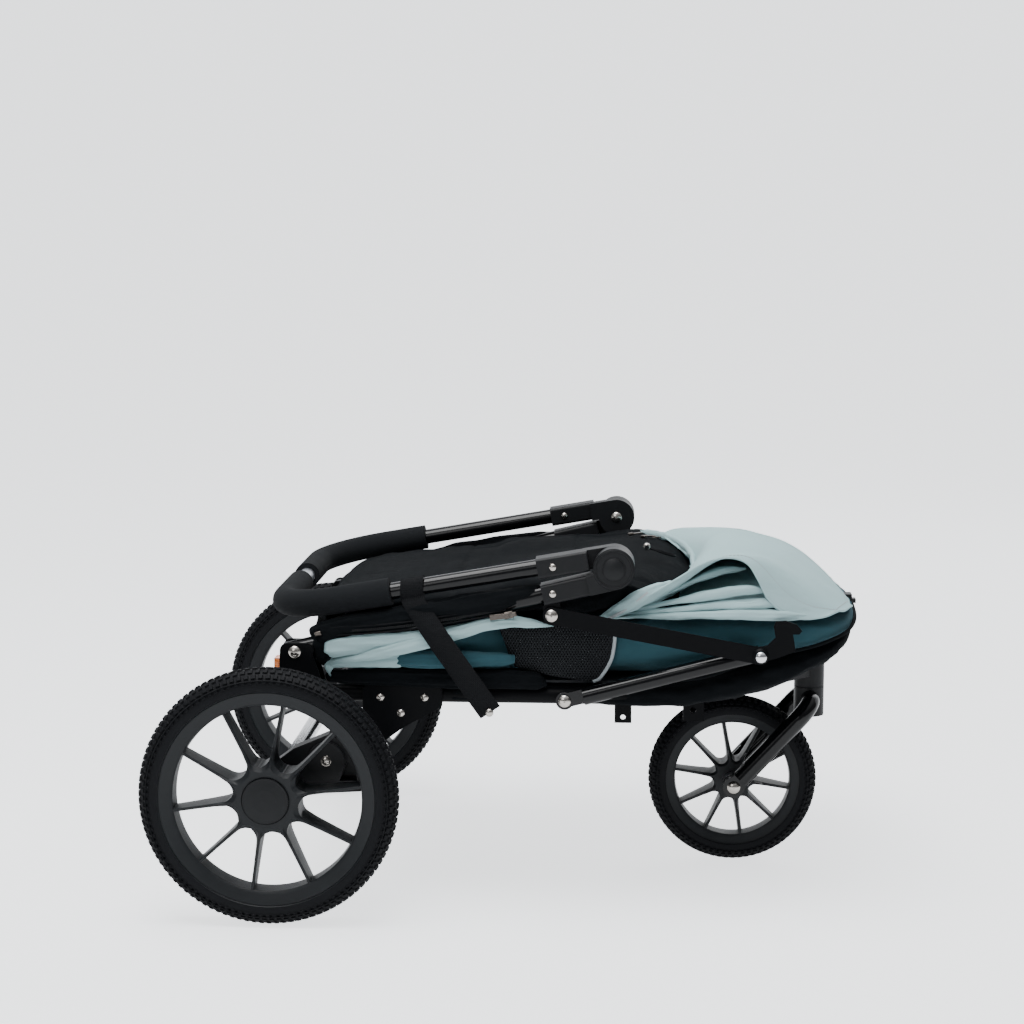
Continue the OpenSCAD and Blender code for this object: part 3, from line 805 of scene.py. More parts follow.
# %% Spokes and the hub's outline. Angles in the tables are degrees in the wheel's plane
PAIR = 72
RIM_OFFSET = math.radians(18.3)
HUB_OFFSET = math.radians(15.4)
FIRST_PAIR = {"rear_right": 26, "rear_left": 8, "front": 9}


def spoke_ends(w, k, side):
    """Inner and outer ends of a spoke in the wheel's plane, as (x, z) from the axle."""
    middle = math.radians(FIRST_PAIR[w.label] + PAIR * k)
    near, far = w.hub * 0.92, w.rim_inner + 0.008
    a, b = middle + side * HUB_OFFSET, middle + side * RIM_OFFSET
    return (near * math.cos(a), near * math.sin(a)), (far * math.cos(b), far * math.sin(b))


def blade_half(w, r):
    """Half the depth of a spoke along the axle, thinner towards the rim."""
    t = (r - w.hub) / (w.rim_inner - w.hub)
    return w.half * (0.88 - 0.26 * min(max(t, 0), 1))


def outline(w, a, melt, grow):
    """Radius of the hub's edge at an angle: a soft union of the disc and the spokes."""
    way = np.array([math.cos(a), math.sin(a)])
    r = w.hub * 0.8
    limit = w.hub * 1.62
    while r < limit:
        p = way * r
        disc = r - w.hub * 0.97 - grow
        nearest = 1e9
        for k in range(5):
            for side in (1, -1):
                start, end = (np.array(e) for e in spoke_ends(w, k, side))
                t = np.clip((p - start) @ (end - start) / ((end - start) @ (end - start)), 0, 1)
                nearest = min(nearest, np.linalg.norm(p - start - t * (end - start)) - 0.0016 - grow * 0.5)
        h = max(melt - abs(disc - nearest), 0) / melt
        if min(disc, nearest) - h * h * melt / 4 > 0:
            break
        r += w.hub * 0.012
    return r


# %% The rim: ring, hub and spokes as one moulding
def make_hub(w):
    """A rear hub's outer face has a round seat for its cap and a deep socket for the nut."""
    rings = []
    for k in range(300):
        a = 2 * math.pi * k / 300
        low = outline(w, a, w.hub * 0.42, 0.0)
        high = outline(w, a, w.hub * 0.30, -w.hub * 0.075)
        edge = blade_half(w, low) + 0.0004
        face = max(w.hub_half, edge)
        wall = [(-face, w.bore), (-face, high), (-edge, low), (edge, low), (face, high), (face, w.bore)]
        if w.recess:
            wall = [
                (-face, w.bore), (-face, high - 0.001), (-face + 0.0008, high), (-edge, low), (edge, low),
                (face - 0.0008, high), (face, high - 0.001), (face, 0.0266), (face - 0.0012, 0.0262),
                (face - 0.0012, 0.0163), (0.0105, 0.0163), (0.0105, w.bore),
            ]
            wall = [(y * w.recess, r) for y, r in wall]
        cx, cy, cz = w.centre
        rings.append([(cx + r * math.cos(a), cy + y, cz + r * math.sin(a)) for y, r in wall])
    points, faces = skin(rings, closed_along=True)
    return piece("hub", points, faces, wheel_plastic, 28)


def make_spoke(w, k, side):
    start, end = (np.array(e) for e in spoke_ends(w, k, side))
    along = (end - start) / np.linalg.norm(end - start)
    square = np.array([-along[1], along[0]])
    rings = []
    for t in np.linspace(0, 1, 9):
        p = start + t * (end - start)
        swell = 1 + 1.1 * math.exp(-t * 7) + 0.5 * math.exp(-(1 - t) * 16)
        deep = blade_half(w, np.linalg.norm(p))
        ring = []
        for y, half in ((-1, 0.0011), (-0.94, 0.0016), (0, 0.0026), (0.94, 0.0016), (1, 0.0011)):
            ring.append((y * deep, half * swell))
        loop = ring + [(y, -h) for y, h in reversed(ring)]
        rings.append([
            (w.centre[0] + p[0] + square[0] * h, w.centre[1] + y, w.centre[2] + p[1] + square[1] * h)
            for y, h in loop
        ])
    points, faces = skin(rings, caps=True)
    return piece("spoke", points, faces, wheel_plastic, 24)


def make_rim(w):
    inner, half = w.rim_inner, w.half
    face = [
        (half - 0.0012, inner + 0.0165), (half - 0.0030, inner + 0.0152), (half - 0.0022, inner + 0.0143),
        (half - 0.0030, inner + 0.0118), (half * 0.72, inner + 0.0034), (half * 0.66, inner + 0.0008),
        (half * 0.60, inner - 0.0002), (0, inner - 0.0012),
    ]
    profile = face + [(-y, r) for y, r in reversed(face[:-1])]
    profile += [(-half * 0.7, inner + 0.02), (half * 0.7, inner + 0.02)]
    ring = spun("ring", profile, w.centre, wheel_plastic, 160, 26)
    spokes = [make_spoke(w, k, side) for k in range(5) for side in (1, -1)]
    made = joined("rim_" + w.label, ring, make_hub(w), *spokes)
    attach(made, w.body)
    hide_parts(w.tyre.replace("tyre", "rim"))
    print(made.name, len(made.data.polygons), "faces")


for w in wheels:
    make_rim(w)

# %% [markdown]
# ## The cloth
# The tables below count in millimetres forward of the rear axle, to the left, and up. They are
# drawn for the stroller's right side, and the left side is their mirror image. Three forms do it
# all: a bag lofted through stations, a fold that runs along a line and tapers out, and a sheet
# through a coarse net of points. Creases are then pushed in along the surface.


# %% From the tables to the frame
SIDES = (("right", 1), ("left", -1))


def at(points):
    """Millimetres from the rear axle to metres in the frame."""
    return np.asarray(points, float) * MM + (AXLE_X, 0, 0)


def on(table, flip):
    """A right-side table, or with flip -1 its mirror image."""
    out = np.array(table, float)
    out[..., 1] *= flip
    return out


def gone_with(made, node):
    """Hides the nodes a piece stands for, and prints how many faces it has."""
    if node:
        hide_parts(*node.split())
    print(made.name, len(made.data.polygons), "faces")


def folding(made):
    """Cloth from the chassis to the uprights, with its placement baked into its points."""
    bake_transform(made)


# %% A bag lofted through stations of x, half width, lowest and highest z
def bag(name, stations, finish, square=3.4, sides=120, step=4.0):
    knots = np.asarray(stations, float)
    x = np.arange(knots[0, 0], knots[-1, 0], step)
    x = np.append(x, knots[-1, 0])
    line = np.array([np.interp(x, knots[:, 0], knots[:, k]) for k in (1, 2, 3)]).T
    soft = line.copy()
    for _ in range(3):
        soft[1:-1] = (soft[:-2] + 2 * soft[1:-1] + soft[2:]) / 4
    turn = np.linspace(0, 2 * math.pi, sides, endpoint=False)
    c, s = oblong(turn, square)
    rings = []
    for place, (wide, low, high) in zip(x, soft):
        middle, half = (low + high) / 2, (high - low) / 2
        ring = np.stack([np.full(sides, place), c * wide, middle + s * half], 1)
        rings.append(at(ring))
    points, faces = skin(rings, caps=True)
    return piece(name, points, faces, finish, 80)


# %% A sheet through a net of points
def net(rows, fine=8):
    """A smooth grid through a coarse one, in the frame's metres."""
    rows = np.asarray(rows, float)
    across = np.array([smooth_path(r, fine) for r in rows])
    count, width, _ = across.shape
    return at(smooth_path(across.reshape(count, -1), fine).reshape(-1, width, 3))


def creased(grid, amount, size, stretch=(1, 1, 1), seed=1):
    """The grid pushed in and out along its own normals."""
    normal = np.cross(np.gradient(grid, axis=0), np.gradient(grid, axis=1))
    normal /= np.linalg.norm(normal, axis=2, keepdims=True) + 1e-12
    height = waves(grid.reshape(-1, 3), size, stretch, seed).reshape(grid.shape[:2])
    return grid + normal * (height * amount)[..., None]


def flat_size(grid):
    """Mean lengths of a sheet's grid lines, across and along: what it was cut to."""
    across = np.linalg.norm(np.diff(grid, axis=1), axis=2).sum(1).mean()
    along = np.linalg.norm(np.diff(grid, axis=0), axis=2).sum(0).mean()
    return round(float(across), 3), round(float(along), 3)


def cloth_sheet(name, grid, finish, thick=1.4):
    """The sheet through a grid, given its thickness on both sides."""
    points, faces = skin(list(grid), closed_round=False)
    made = piece(name, points, faces, finish, 80)
    solid = made.modifiers.new("thickness", "SOLIDIFY")
    solid.thickness = thick * MM
    solid.offset = 0
    with_modifiers_applied(made)
    for polygon in made.data.polygons:
        polygon.use_smooth = True
    return made


def stitches(name, path, finish, spacing=0.0042, size=(0.0013, 0.00035, 0.00035)):
    """A row of stitches along a path in metres."""
    thread = block("thread", size, 1.0)
    values = {"Curve": curve_object(path), "Template": thread, "Spacing": spacing, "Finish": finish}
    return grown(name, along_curve, values, smooth=False)


# %% [markdown]
# ### Shell, skirt and base
# The teal shell runs the whole length. Under it the black tray's skirt starts behind the
# strap and rises to the nose in a long curve. Both are stretched by the board inside them, so
# their creases are long and shallow, and run mostly along the cabin.

# %% Teal shell
SHELL = [
    (60, 170, 266, 310), (68, 188, 262, 316), (100, 194, 260, 321), (200, 195, 258, 328),
    (236, 192, 258, 330), (256, 186, 258, 331), (300, 185, 258, 334), (366, 186, 259, 337),
    (386, 191, 259, 338), (420, 195, 259, 339), (500, 195, 268, 341), (560, 194, 284, 341),
    (600, 188, 292, 338), (622, 178, 300, 334), (638, 160, 305, 331), (649, 130, 308, 329),
    (656, 88, 311, 327), (659, 34, 314, 324),
]
shell = bag("shell", SHELL, cloth_teal)
ruffle(shell, 0.0022, 0.075, (3, 1, 1), 4)
ruffle(shell, 0.0009, 0.022, (2, 1, 1), 5)
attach(shell, "chassis")
gone_with(shell, "cabin_body")

# %% Black skirt of the tray
SKIRT = [
    (187, 190, 233, 252), (194, 197, 230, 257), (250, 198, 228, 259), (350, 198, 227, 259),
    (401, 198, 223, 259), (458, 198, 224, 260), (515, 197, 232, 279), (560, 196, 244, 293),
    (585, 193, 256, 298), (617, 184, 274, 306), (636, 164, 288, 312), (648, 134, 298, 315),
    (655, 90, 305, 319), (657, 34, 311, 321),
]
skirt = bag("tray_skirt", SKIRT, cloth_black)
ruffle(skirt, 0.0024, 0.06, (2.2, 1, 0.8), 11)
ruffle(skirt, 0.0010, 0.016, (1.6, 1, 1), 12)
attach(skirt, "chassis")
gone_with(skirt, "lower_tray")

# %% Piped edge where the skirt meets the shell, right round the nose
edge = [(430, -198, 261), (480, -198.5, 268), (515, -198.5, 280), (560, -196.5, 293.5), (600, -190, 302)]
edge += [(625, -178, 309), (641, -158, 313.5), (652, -124, 317), (658, -80, 320), (660.5, 0, 322)]
edge += [(x, -y, z) for x, y, z in reversed(edge[:-1])]
piping = pipe("nose_piping", smooth_path(at(edge), 10), 0.0021, cloth_black, 10, (0, 0, 1))
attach(piping, "chassis")
gone_with(piping, "")

# %% [markdown]
# ### Side pleats
# Folding the frame doubles the side walls up into pleats: a mint roll above, a second one that
# swings up from the rear pinch, and a wedge below that changes to teal at a slanting seam.

# %% Table of the folds: x, y, z, half width, half height
PLEATS = {
    "pleat_top": (cloth_mint, "cloth_mint", [
        (56, -208, 300, 1, 4), (60, -212, 300, 8, 10), (72, -214, 302, 9, 12.5),
        (110, -214, 307, 10, 10.5), (145, -213, 312, 9, 8), (172, -212, 318, 8, 6),
        (196, -211, 323, 2, 1),
    ]),
    "pleat_middle": (cloth_mint, "cloth_mint", [
        (57, -206, 279, 1, 3), (70, -210, 283, 6, 4.5), (98, -213, 291, 9, 7), (132, -215, 299, 9, 8),
        (160, -215, 307.5, 9, 8.5), (188, -214, 314.5, 9, 9.5), (215, -213, 321.5, 9, 8.5),
        (242, -212, 329, 8, 7.5), (262, -211, 332, 7, 6.5), (282, -208, 330, 6, 6),
        (300, -205, 327, 4, 3), (312, -203, 325, 0.5, 0.5),
    ]),
    "pleat_low": (cloth_mint, "cloth_mint", [
        (58, -202, 276, 2, 3), (72, -205, 280, 6, 5.5), (100, -207, 283, 8, 7.5),
        (124, -207, 285, 8, 8), (139, -206, 286, 7, 8), (145, -204, 286, 2, 4),
    ]),
    "pleat_low_teal": (cloth_teal, "cloth_teal", [
        (128, -204, 285, 3, 6), (140, -206, 286.5, 8, 8.6), (176, -208, 287, 9, 9.5),
        (215, -207, 286.5, 8, 9.5), (250, -204, 286, 6, 9), (268, -200, 286, 2, 5),
    ]),
    "pinch": (cloth_mint, "cloth_mint", [
        (61, -201, 263, 1.5, 1.5), (59, -204, 270, 4, 3), (59, -205, 279, 5, 4), (61, -205, 288, 4, 3),
    ]),
    "base_band": (cloth_black, "cloth_black", [
        (58, -198, 266, 2, 4), (68, -201, 265, 6, 8), (140, -202, 264, 7, 9.5),
        (220, -202, 263, 7, 9.5), (286, -201, 262, 6, 9), (303, -198, 261, 2, 4),
    ]),
    "zip_band": (cloth_black, "cloth_black", [
        (44, -203, 309, 3, 9), (51, -212, 314, 8, 14), (72, -214, 322, 10, 12),
        (110, -214, 329, 10, 11.5), (160, -214, 338, 10, 13), (210, -213, 348, 10, 13),
        (245, -212, 355, 9, 11.5), (276, -211, 362, 8, 9.5), (300, -209, 366, 4, 6),
    ]),
    "rear_end": (cloth_black, "cloth_black", [
        (58, -202, 324, 6, 6), (50, -207, 316, 9, 8), (51, -209, 302, 10, 13), (53, -207, 289, 8, 11),
        (58, -202, 277, 3, 5),
    ]),
}
pleats = []
for label, flip in SIDES:
    for name, (finish, finish_slot, knots) in PLEATS.items():
        made = fold(name + "_" + label, on(knots, flip), finish, 72, 2.3, 12, ridge=0.045)
        ruffle(made, 0.0017, 0.026, (3.2, 1, 0.6), 20 + len(pleats))
        ruffle(made, 0.0005, 0.010, (2.5, 1, 1), 60 + len(pleats))
        if name == "base_band":
            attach(made, "chassis")
        else:
            folding(made)
        node = "side_fold_" + label if name == "pleat_middle" else ""
        gone_with(made, node)
        pleats.append(made)

# %% Zips along the top of the pleats: two tapes, teeth and a slider with its pull
ZIP_LINE = [
    (50, -219, 317), (70, -222, 320), (110, -223.3, 323), (160, -223.3, 329), (205, -222.3, 337),
    (240, -220, 343), (258, -217, 346),
]


def bar(name, middle, half, finish, way=(1, 0, 0), up=(0, 0, 1)):
    """A small rounded bar: middle and half sizes in mm."""
    way = np.asarray(way, float) / np.linalg.norm(way)
    side = np.cross(up, way)
    side /= np.linalg.norm(side)
    rise = np.cross(way, side)
    box = block(name, tuple(h * MM for h in half), 1.0)
    for v in box.data.vertices:
        v.co = at(middle) + v.co.x * way + v.co.y * side + v.co.z * rise
    box.data.materials[0] = finish
    bevel = box.modifiers.new("edges", "BEVEL")
    bevel.width = min(half) * 0.6 * MM
    bevel.segments = 3
    return with_modifiers_applied(box)


for label, flip in SIDES:
    line = smooth_path(at(on(ZIP_LINE, flip)), 14)
    teeth_shape = block("tooth", (0.0008, 0.0009, 0.0014), 0.8)
    teeth = grown("teeth", along_curve, {
        "Curve": curve_object(line), "Template": teeth_shape, "Spacing": 0.0023, "Finish": moulded_black,
    }, smooth=False)
    tapes = [pipe("tape", line + (0, 0, dz), 0.0009, webbing, 8) for dz in (0.0044, -0.0044)]
    zipper = joined("zip_" + label, teeth, *tapes)
    folding(zipper)
    gone_with(zipper, "")
    slider = bar("slider", on((262, -219, 340), flip), (5.5, 2.6, 4.2), pull_metal, (1, 0, 0.2))
    head = bar("head", on((268, -220, 341), flip), (3, 2, 2.6), pull_metal, (1, 0, 0.2))
    tab = bar("tab", on((252, -222, 338.5), flip), (11, 0.9, 3.0), pull_metal, (1, 0, 0.12))
    small = bar("small", on((49, -221, 317), flip), (4, 2.0, 2.6), pull_metal, (1, 0, 0.2))
    pull = joined("zip_pull_" + label, slider, head, tab, small)
    folding(pull)
    gone_with(pull, "")

# %% [markdown]
# ### Mesh pocket
# Each side has a pocket of knitted mesh on the teal wall, bagging out a little, with grey piping
# round its open edge. A black lining behind it keeps its holes dark.

# %% Pocket, lining and piping
POCKET = [
    [(247, -192, 331), (285, -193, 331), (330, -194, 325), (356, -193, 321), (380, -193, 318)],
    [(251, -193, 318), (285, -195.5, 317), (330, -196, 311), (356, -195.5, 306), (379, -193, 302)],
    [(257, -193, 301), (286, -196, 299), (330, -196, 292), (355, -195.5, 286), (375, -193, 283)],
    [(262, -193, 286), (290, -195.5, 280), (326, -195.5, 272), (348, -194.5, 268), (364, -193, 265)],
    [(268, -192, 276), (292, -193.5, 270), (322, -193.5, 264), (342, -193, 261), (356, -192.5, 260)],
]
for label, flip in SIDES:
    grid = creased(net(on(POCKET, flip)), 0.0012, 0.034, (2.2, 1, 0.8), 31)
    back = cloth_sheet("pocket_lining_" + label, grid + (0, 0.0026 * flip, 0), lining, 1.0)
    front = cloth_sheet("pocket_" + label, grid, pocket_mesh, 0.9)
    open_edge = pipe("pocket_piping_" + label, grid[:, -1], 0.0021, piping_grey, 10)
    hem = pipe("pocket_hem_" + label, grid[0], 0.0018, cloth_black, 10)
    for made in (back, front):
        folding(made)
        gone_with(made, "")
    for made, finish_slot in ((open_edge, "cloth_mint"), (hem, "cloth_black")):
        folding(made)
        gone_with(made, "")
print("each pocket cut to", flat_size(grid), "m")

# %% [markdown]
# ### Cover between the uprights
# The black cover goes with the uprights. It is loose, so it has the deepest creases. Seams are
# narrow grooves, and the front ends in a tongue with a mint hem.

# %% Cover
COVER = [
    (44, 120, 332, 337), (50, 150, 330, 342), (62, 170, 330, 347), (84, 181, 331, 352),
    (130, 186, 334, 358), (200, 186, 337, 363), (226, 186, 338, 366), (246, 186, 339, 374),
    (280, 186, 340, 379), (313, 186, 340, 380), (350, 186, 341, 381), (385, 184, 341, 379),
    (408, 178, 341, 376), (425, 166, 341, 373), (442, 138, 342, 370), (456, 102, 343, 366),
    (466, 60, 345, 361), (471, 20, 348, 357),
]
cover = bag("cover", COVER, cloth_black, 3.0, 160, 3.0)


def cover_grooves(made):
    """Seams across and along the cover, and a shallow channel down its middle."""
    mesh = made.data
    for v in mesh.vertices:
        x, y = (v.co.x - AXLE_X) / MM, v.co.y / MM
        if v.co.z < at((0, 0, 350))[2]:
            continue
        drop = 2.2 * math.exp(-(((x - 196) / 3) ** 2)) + 1.6 * math.exp(-(((x - 330) / 3) ** 2))
        drop += 5.0 * math.exp(-((y / 55) ** 2)) * math.exp(-(((x - 260) / 80) ** 2))
        drop += 1.6 * math.exp(-(((abs(y) - 128) / 3.2) ** 2)) * (x > 196)
        drop -= 0.10 * y * min(max((x - 350) / 80, 0), 1)
        v.co.z -= drop * MM
    mesh.update()


LOOSE_FROM = at((150, 0, 0))[0]


def looseness(points):
    """The cover is tight behind the strap and loose in front of it."""
    return np.clip((points[:, 0] - LOOSE_FROM) / 0.09, 0.25, 1)


ruffle(cover, 0.0030, 0.11, (1.3, 1.0, 2), 41, looseness)
ruffle(cover, 0.0010, 0.050, (0.7, 1.8, 2), 42)
ruffle(cover, 0.0003, 0.014, (1, 1.5, 1), 43)
cover_grooves(cover)
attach(cover, "uprights")
gone_with(cover, "top_cover")

# %% Crumpled cloth under the elbows
for label, flip in SIDES:
    knots = [
        (236, -188, 345, 3, 3), (262, -190, 348, 7, 8), (300, -191, 352, 9, 12), (340, -190, 355, 10, 14),
        (378, -187, 357, 10, 14), (404, -181, 357, 8, 10), (424, -172, 358, 2, 3),
    ]
    crumple = fold("crumple_" + label, on(knots, flip), cloth_black, 48, 2.2, 16)
    ruffle(crumple, 0.0035, 0.034, (1.2, 1, 0.8), 51)
    ruffle(crumple, 0.0014, 0.012, (1, 1, 1), 52)
    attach(crumple, "uprights")
    gone_with(crumple, "")

# %% Rear end of the cabin, folded down behind the cover
REAR = [
    (56, -204, 312, 10, 4), (46, -180, 310, 20, 6), (43, -90, 308, 23, 7), (42, 0, 307, 24, 7),
    (43, 90, 308, 23, 7), (46, 180, 310, 20, 6), (56, 204, 312, 10, 4),
]
rear = fold("rear_panel", REAR, cloth_black, 48, 2.4, 20, (0, 0, 1))
ruffle(rear, 0.0022, 0.05, (1, 2.5, 0.8), 55)
ruffle(rear, 0.0008, 0.016, (1, 2, 1), 56)
folding(rear)
gone_with(rear, "")

# %% Mint hem round the tongue
hem_line = [
    (396, -186, 342), (412, -176, 346), (428, -160, 350), (444, -132, 353), (457, -100, 356),
    (468, -60, 361),
    (472, -20, 366), (470, 20, 373), (457, 62, 380), (437, 98, 383), (418, 135, 381), (402, 162, 374),
    (392, 184, 362),
]
tongue_hem = fold("tongue_hem", [(*p, 4.6, 3.4) for p in hem_line], cloth_mint, 20, 2.2, 12, (0, 0, 1))
ruffle(tongue_hem, 0.0008, 0.02, (1, 1, 1), 44)
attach(tongue_hem, "uprights")
gone_with(tongue_hem, "")

# %% Cord stop with its loop, and the three zip pulls on the tongue
STOP_PLACE = at((416, -30, 389))
STOP = [
    (-0.0045, 0.0), (-0.0045, 0.0034), (-0.0035, 0.0042), (0.0035, 0.0042), (0.0045, 0.0034), (0.0045, 0.0),
]
PLUG = [(-0.0078, 0.0), (-0.0078, 0.0028), (-0.0045, 0.0030), (-0.0045, 0.0)]
stop = spun("stop", STOP, STOP_PLACE, bolt_zinc, 32)
plug = spun("plug", PLUG, STOP_PLACE, moulded_black, 32)
loop = [
    (416, -30, 388), (424, -33, 386), (436, -36, 382), (448, -30, 378), (450, -20, 377), (440, -18, 380),
    (426, -24, 385), (416, -28, 388),
]
loop_path = smooth_path(at(loop), 8)
print("elastic loop", round(np.linalg.norm(np.diff(loop_path, axis=0), axis=1).sum(), 3), "m long")
loops = pipe("loop", loop_path, 0.0011, webbing, 8, (0, 0, 1))
toggle = joined("toggle", stop, plug, loops)
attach(toggle, "uprights")
gone_with(toggle, "")
pulls = []
for x, y, z, turn in ((404, 92, 387, 0.5), (420, 78, 386, -0.6), (434, 96, 382, 0.2)):
    way = (math.cos(turn), math.sin(turn), 0.05)
    pulls.append(bar("pull", (x, y, z), (8, 2.4, 0.8), pull_metal, way))
    pulls.append(bar("pull", (x - 7, y - 3, z - 0.5), (3.4, 2.8, 1.8), pull_metal, way))
tongue_pulls = joined("tongue_pulls", *pulls)
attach(tongue_pulls, "uprights")
gone_with(tongue_pulls, "")

# %% [markdown]
# ### Canopy
# The canopy is thrown forward over the nose. It is one continuous sheet through a net of
# points: it rises from the tongue, bows over the collapsed hoops and hangs to the nose. At each
# side its edge arches up, and the fan of folds beneath it shows.

# %% The sheet
CANOPY = [
    [
        (384, -200, 338), (424, -204, 363), (452, -204, 380), (479, -201, 395), (504, -198, 401),
        (524, -198, 396), (536, -202, 380), (548, -206, 359), (563, -207, 345), (586, -205, 336),
        (612, -198, 337), (629, -190, 343),
    ],
    [
        (430, -186, 352), (452, -187, 367), (470, -186, 381), (487, -184, 393), (507, -182, 401),
        (528, -181, 402), (545, -183, 396), (562, -185, 383), (580, -187, 367), (602, -184, 354),
        (622, -176, 346), (638, -166, 340),
    ],
    [
        (444, -155, 353), (460, -155, 373), (474, -154, 387), (490, -152, 396), (510, -150, 402),
        (531, -150, 402), (552, -151, 397), (574, -152, 386), (596, -152, 372), (616, -150, 358),
        (633, -145, 346), (645, -138, 337),
    ],
    [
        (457, -100, 352), (465, -100, 372), (477, -100, 387), (492, -100, 396), (512, -100, 401),
        (534, -100, 401), (556, -100, 396), (580, -100, 386), (603, -100, 371), (623, -100, 356),
        (640, -98, 342), (651, -94, 331),
    ],
    [
        (473, 0, 364), (478, 0, 378), (486, 0, 390), (498, 0, 399), (514, 0, 404), (536, 0, 402),
        (558, 0, 395), (582, 0, 386), (605, 0, 372), (626, 0, 355), (643, 0, 339), (655, 0, 326),
    ],
    [
        (438, 95, 382), (449, 98, 388), (462, 100, 391), (480, 100, 392), (505, 100, 393),
        (532, 100, 391), (556, 100, 384), (580, 100, 376), (603, 100, 364), (622, 98, 351),
        (638, 96, 338), (649, 94, 327),
    ],
    [
        (424, 150, 368), (440, 152, 376), (458, 153, 381), (480, 153, 384), (505, 152, 385),
        (531, 152, 383), (554, 152, 376), (577, 152, 368), (599, 151, 356), (618, 149, 345),
        (634, 145, 335), (645, 138, 327),
    ],
    [
        (412, 180, 350), (432, 184, 360), (452, 186, 368), (476, 186, 373), (503, 185, 375),
        (530, 184, 372), (551, 185, 365), (572, 185, 357), (592, 184, 346), (611, 180, 338),
        (628, 174, 332), (640, 165, 328),
    ],
    [
        (398, 200, 337), (422, 204, 343), (445, 206, 349), (470, 206, 355), (500, 205, 359),
        (524, 205, 357), (543, 206, 350), (562, 206, 342), (582, 204, 335), (602, 199, 330),
        (620, 192, 328), (634, 183, 328),
    ],
]
canopy_grid = creased(net(CANOPY, 10), 0.0026, 0.070, (2.2, 0.8, 1), 71)
canopy = cloth_sheet("canopy_sheet", canopy_grid, cloth_mint, 1.6)
edges = [canopy_grid[0], canopy_grid[-1], canopy_grid[:, 0], canopy_grid[:, -1]]
rims = [pipe("rim", line, 0.0013, cloth_mint, 8, (0, 0, 1)) for line in edges]
thread_paths = [canopy_grid[6], canopy_grid[-7], canopy_grid[:, -6]]
lift = np.array([0, 0, 0.0012])
threads = [stitches("thread", line + lift, piping_grey) for line in thread_paths]
canopy = joined("canopy_sheet", canopy, *rims)
folding(canopy)
gone_with(canopy, "canopy")
print("canopy cut to", flat_size(canopy_grid), "m")
seam = joined("canopy_stitches", *threads)
folding(seam)
gone_with(seam, "")

# %% The fan of folds beneath it, and the rolled edge behind
FAN = [
    [
        (376, -186, 332, 1, 1), (430, -196, 336, 6, 3), (490, -203, 340, 9, 5), (545, -206, 340, 9, 6),
        (590, -199, 338, 5, 4), (606, -190, 338, 1, 1),
    ],
    [
        (382, -184, 335, 1, 1), (440, -193, 343, 6, 3), (500, -200, 350, 8, 5), (545, -202, 353, 8, 5),
        (580, -194, 351, 1, 1),
    ],
    [
        (386, -182, 337, 1, 1), (440, -190, 350, 6, 3), (490, -196, 361, 7, 4.5),
        (530, -198, 367, 7, 5), (562, -190, 366, 1, 1),
    ],
    [
        (392, -172, 341, 1, 1), (430, -176, 356, 6, 3), (470, -176, 374, 7, 4), (500, -172, 384, 6, 4),
        (526, -164, 386, 1, 1),
    ],
]
ROLL = [
    (360, -192, 331, 1, 2), (374, -197, 337, 6, 6), (392, -199, 347, 8, 8), (410, -196, 358, 8, 8),
    (428, -186, 366, 7, 6), (442, -168, 370, 3, 3),
]
# The canopy hangs lower on the left, so the left fan has fewer folds and rises less.
FAN_FOOT = 332
FAN_SIDES = (("right", 1, 4, 1.0), ("left", -1, 3, 0.6))
for label, flip, count, rise in FAN_SIDES:
    rows = [np.array(knots, float) for knots in FAN[:count]]
    for knots in rows:
        knots[:, 2] = FAN_FOOT + (knots[:, 2] - FAN_FOOT) * rise
    parts = [fold("fan", on(knots, flip), cloth_mint, 48, 2.3, 12, ridge=0.03) for knots in rows]
    parts.append(fold("roll", on(ROLL, flip), cloth_mint, 64, 2.3, 12, ridge=0.05))
    fan = joined("fan_" + label, *parts)
    ruffle(fan, 0.0019, 0.026, (3.2, 1, 0.7), 81)
    ruffle(fan, 0.0005, 0.010, (2, 1, 1), 82)
    folding(fan)
    gone_with(fan, "")
    line = [(371, -204, 333), (388, -207, 343), (402, -206, 353), (416, -202, 364)]
    roll_piping = pipe("roll_piping_" + label, smooth_path(at(on(line, flip)), 10), 0.0018, piping_grey, 10)
    folding(roll_piping)
    gone_with(roll_piping, "")

# %% Folded cloth inside the canopy
PACK = [
    (452, 110, 341, 347), (466, 140, 340, 354), (490, 160, 340, 366), (530, 168, 340, 372),
    (565, 170, 340, 368), (590, 164, 338, 352), (610, 152, 336, 342), (622, 128, 334, 338),
    (628, 90, 333, 336),
]
pack = bag("canopy_pack", PACK, cloth_mint, 2.6, 96, 4.0)
ruffle(pack, 0.0030, 0.045, (2.4, 1, 0.6), 91)
folding(pack)
gone_with(pack, "")

# %% [markdown]
# ### Strap and small metal
# A flat webbing strap is sewn round the right handle arm and pressed on a stud under the rail.
# Its width turns from the arm's own direction to lie flat on the slope down to the stud.


# %% Strap
RIBBON_EDGE = [
    (-1, -0.5), (-0.97, -1), (0, -1), (0.97, -1), (1, -0.5),
    (1, 0.5), (0.97, 1), (0, 1), (-0.97, 1), (-1, 0.5),
]


def ribbon(name, spine, width_ways, half_width, thick, finish):
    """A flat strap: its spine, and the direction of its width at each point."""
    spine = np.asarray(spine, float)
    ways = np.asarray(width_ways, float)
    ways /= np.linalg.norm(ways, axis=1)[:, None]
    tangent = np.gradient(spine, axis=0)
    tangent /= np.linalg.norm(tangent, axis=1)[:, None] + 1e-12
    normal = np.cross(tangent, ways)
    rings = []
    for p, w, n in zip(spine, ways, normal):
        rings.append([p + w * a * half_width + n * b * thick / 2 for a, b in RIBBON_EDGE])
    points, faces = skin(rings, caps=True)
    return piece(name, points, faces, finish, 50)


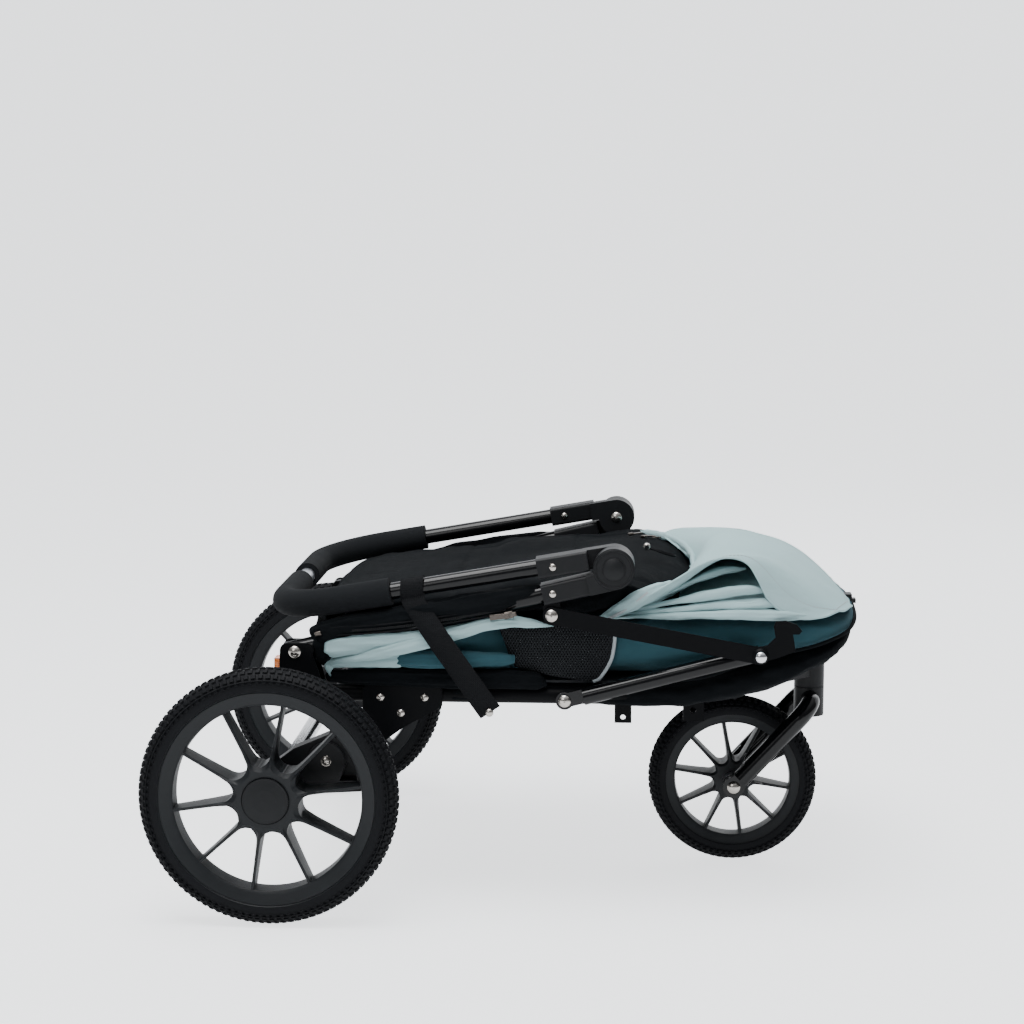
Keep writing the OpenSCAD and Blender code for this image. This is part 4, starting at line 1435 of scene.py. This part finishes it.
ARM_AXIS = np.array([0.985, 0, 0.170])
DOWN_WIDTH = np.array([0.829, 0, 0.559])
ARM = np.array([154, -207.5, 367.5])
LOOP_WIDE, LOOP_HIGH = 11.6, 12.4
spine, ways = [], []
for a in np.radians(np.linspace(-250, 60, 40)):
    spine.append(ARM + (0, LOOP_WIDE * math.cos(a), LOOP_HIGH * math.sin(a)))
    ways.append(ARM_AXIS)
for t in np.linspace(0, 1, 40)[1:]:
    bow = 2 * math.sin(math.pi * t) ** 0.7
    spine.append([154 + 88 * t, -219.5 - 6.5 * min(1, t * 3) - bow, 357 - 126 * t])
    share = min(1, t * 2.5)
    ways.append(ARM_AXIS * (1 - share) + DOWN_WIDTH * share)
strap = ribbon("strap", at(spine), ways, 0.013, 0.0016, webbing)
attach(strap, "handle")
gone_with(strap, "fold_strap")

# %% Domed bolts: where link and strut meet, and the stud at the strap's foot
def dome(place, flip, radius=4.2, high=2.6, finish=None):
    """A domed bolt head that faces away from the middle plane when flip is 1 on the right."""
    profile = [
        (0, 0.0), (0, radius), (high * 0.35, radius), (high * 0.7, radius * 0.8), (high, radius * 0.3),
        (high, 0.0),
    ]
    scaled = [(-y * MM * flip, r * MM) for y, r in profile]
    return spun("dome", scaled, at(place), finish or bolt_zinc, 32, 50)


outer_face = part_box("side_links")[0].y / MM
for label, flip in SIDES:
    joint_bolt = dome(on((541, outer_face, 297), flip), flip, 6.4, 4.2, axle_chrome)
    joint_bolt.name = "strut_bolt_" + label
    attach(joint_bolt, "links")
    gone_with(joint_bolt, "")
stud = dome((241, -228, 231), 1, 4.6, 3)
stud.name = "strap_stud"
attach(stud, "handle")
gone_with(stud, "")

# %% Bolts through the elbow sleeves, and the raised ring on each elbow's disc
SLEEVE_X = 311
SLEEVE_FACES = ((-222.4, 1), (-192.6, -1))
SLEEVE_BOLTS = (("upper", 394.5, "handle"), ("lower", 364.6, "uprights"))
ELBOW = (378.5, -227.4, 393.5)
ELBOW_RING = [(-0.0002, 0.0196), (-0.0010, 0.0200), (-0.0010, 0.0216), (-0.0002, 0.0222)]
for label, flip in SIDES:
    for level, z, body in SLEEVE_BOLTS:
        heads = [dome(on((SLEEVE_X, y, z), flip), way * flip) for y, way in SLEEVE_FACES]
        bolts = joined("sleeve_bolts_" + level + "_" + label, *heads)
        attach(bolts, body)
        gone_with(bolts, "")
    ring = [(y * flip, r) for y, r in ELBOW_RING]
    disc = spun("elbow_ring_" + label, ring, at(on(ELBOW, flip)), moulded_black, 96)
    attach(disc, "uprights")
    gone_with(disc, "")

# %% [markdown]
# ## Floor
# A sheet of paper that runs under the stroller and up a wall behind it.

# %% Sweep of paper
PAPER_NEAR, PAPER_FAR = -14.0, 3.2
PAPER_BEND, PAPER_HEIGHT, PAPER_HALF = 2.4, 8.0, 16
ring = [(PAPER_NEAR, 0.0), (PAPER_FAR, 0.0)]
for a in np.linspace(0, math.pi / 2, 24)[1:]:
    ring.append((PAPER_FAR + PAPER_BEND * math.sin(a), PAPER_BEND * (1 - math.cos(a))))
ring.append((ring[-1][0], PAPER_HEIGHT))
rows = [[(x, y, z) for y, z in ring] for x in (-PAPER_HALF, PAPER_HALF)]
points, faces = skin(rows, closed_round=False)
floor = piece("floor", points, faces, paper.material)
print("paper", len(floor.data.polygons), "faces")
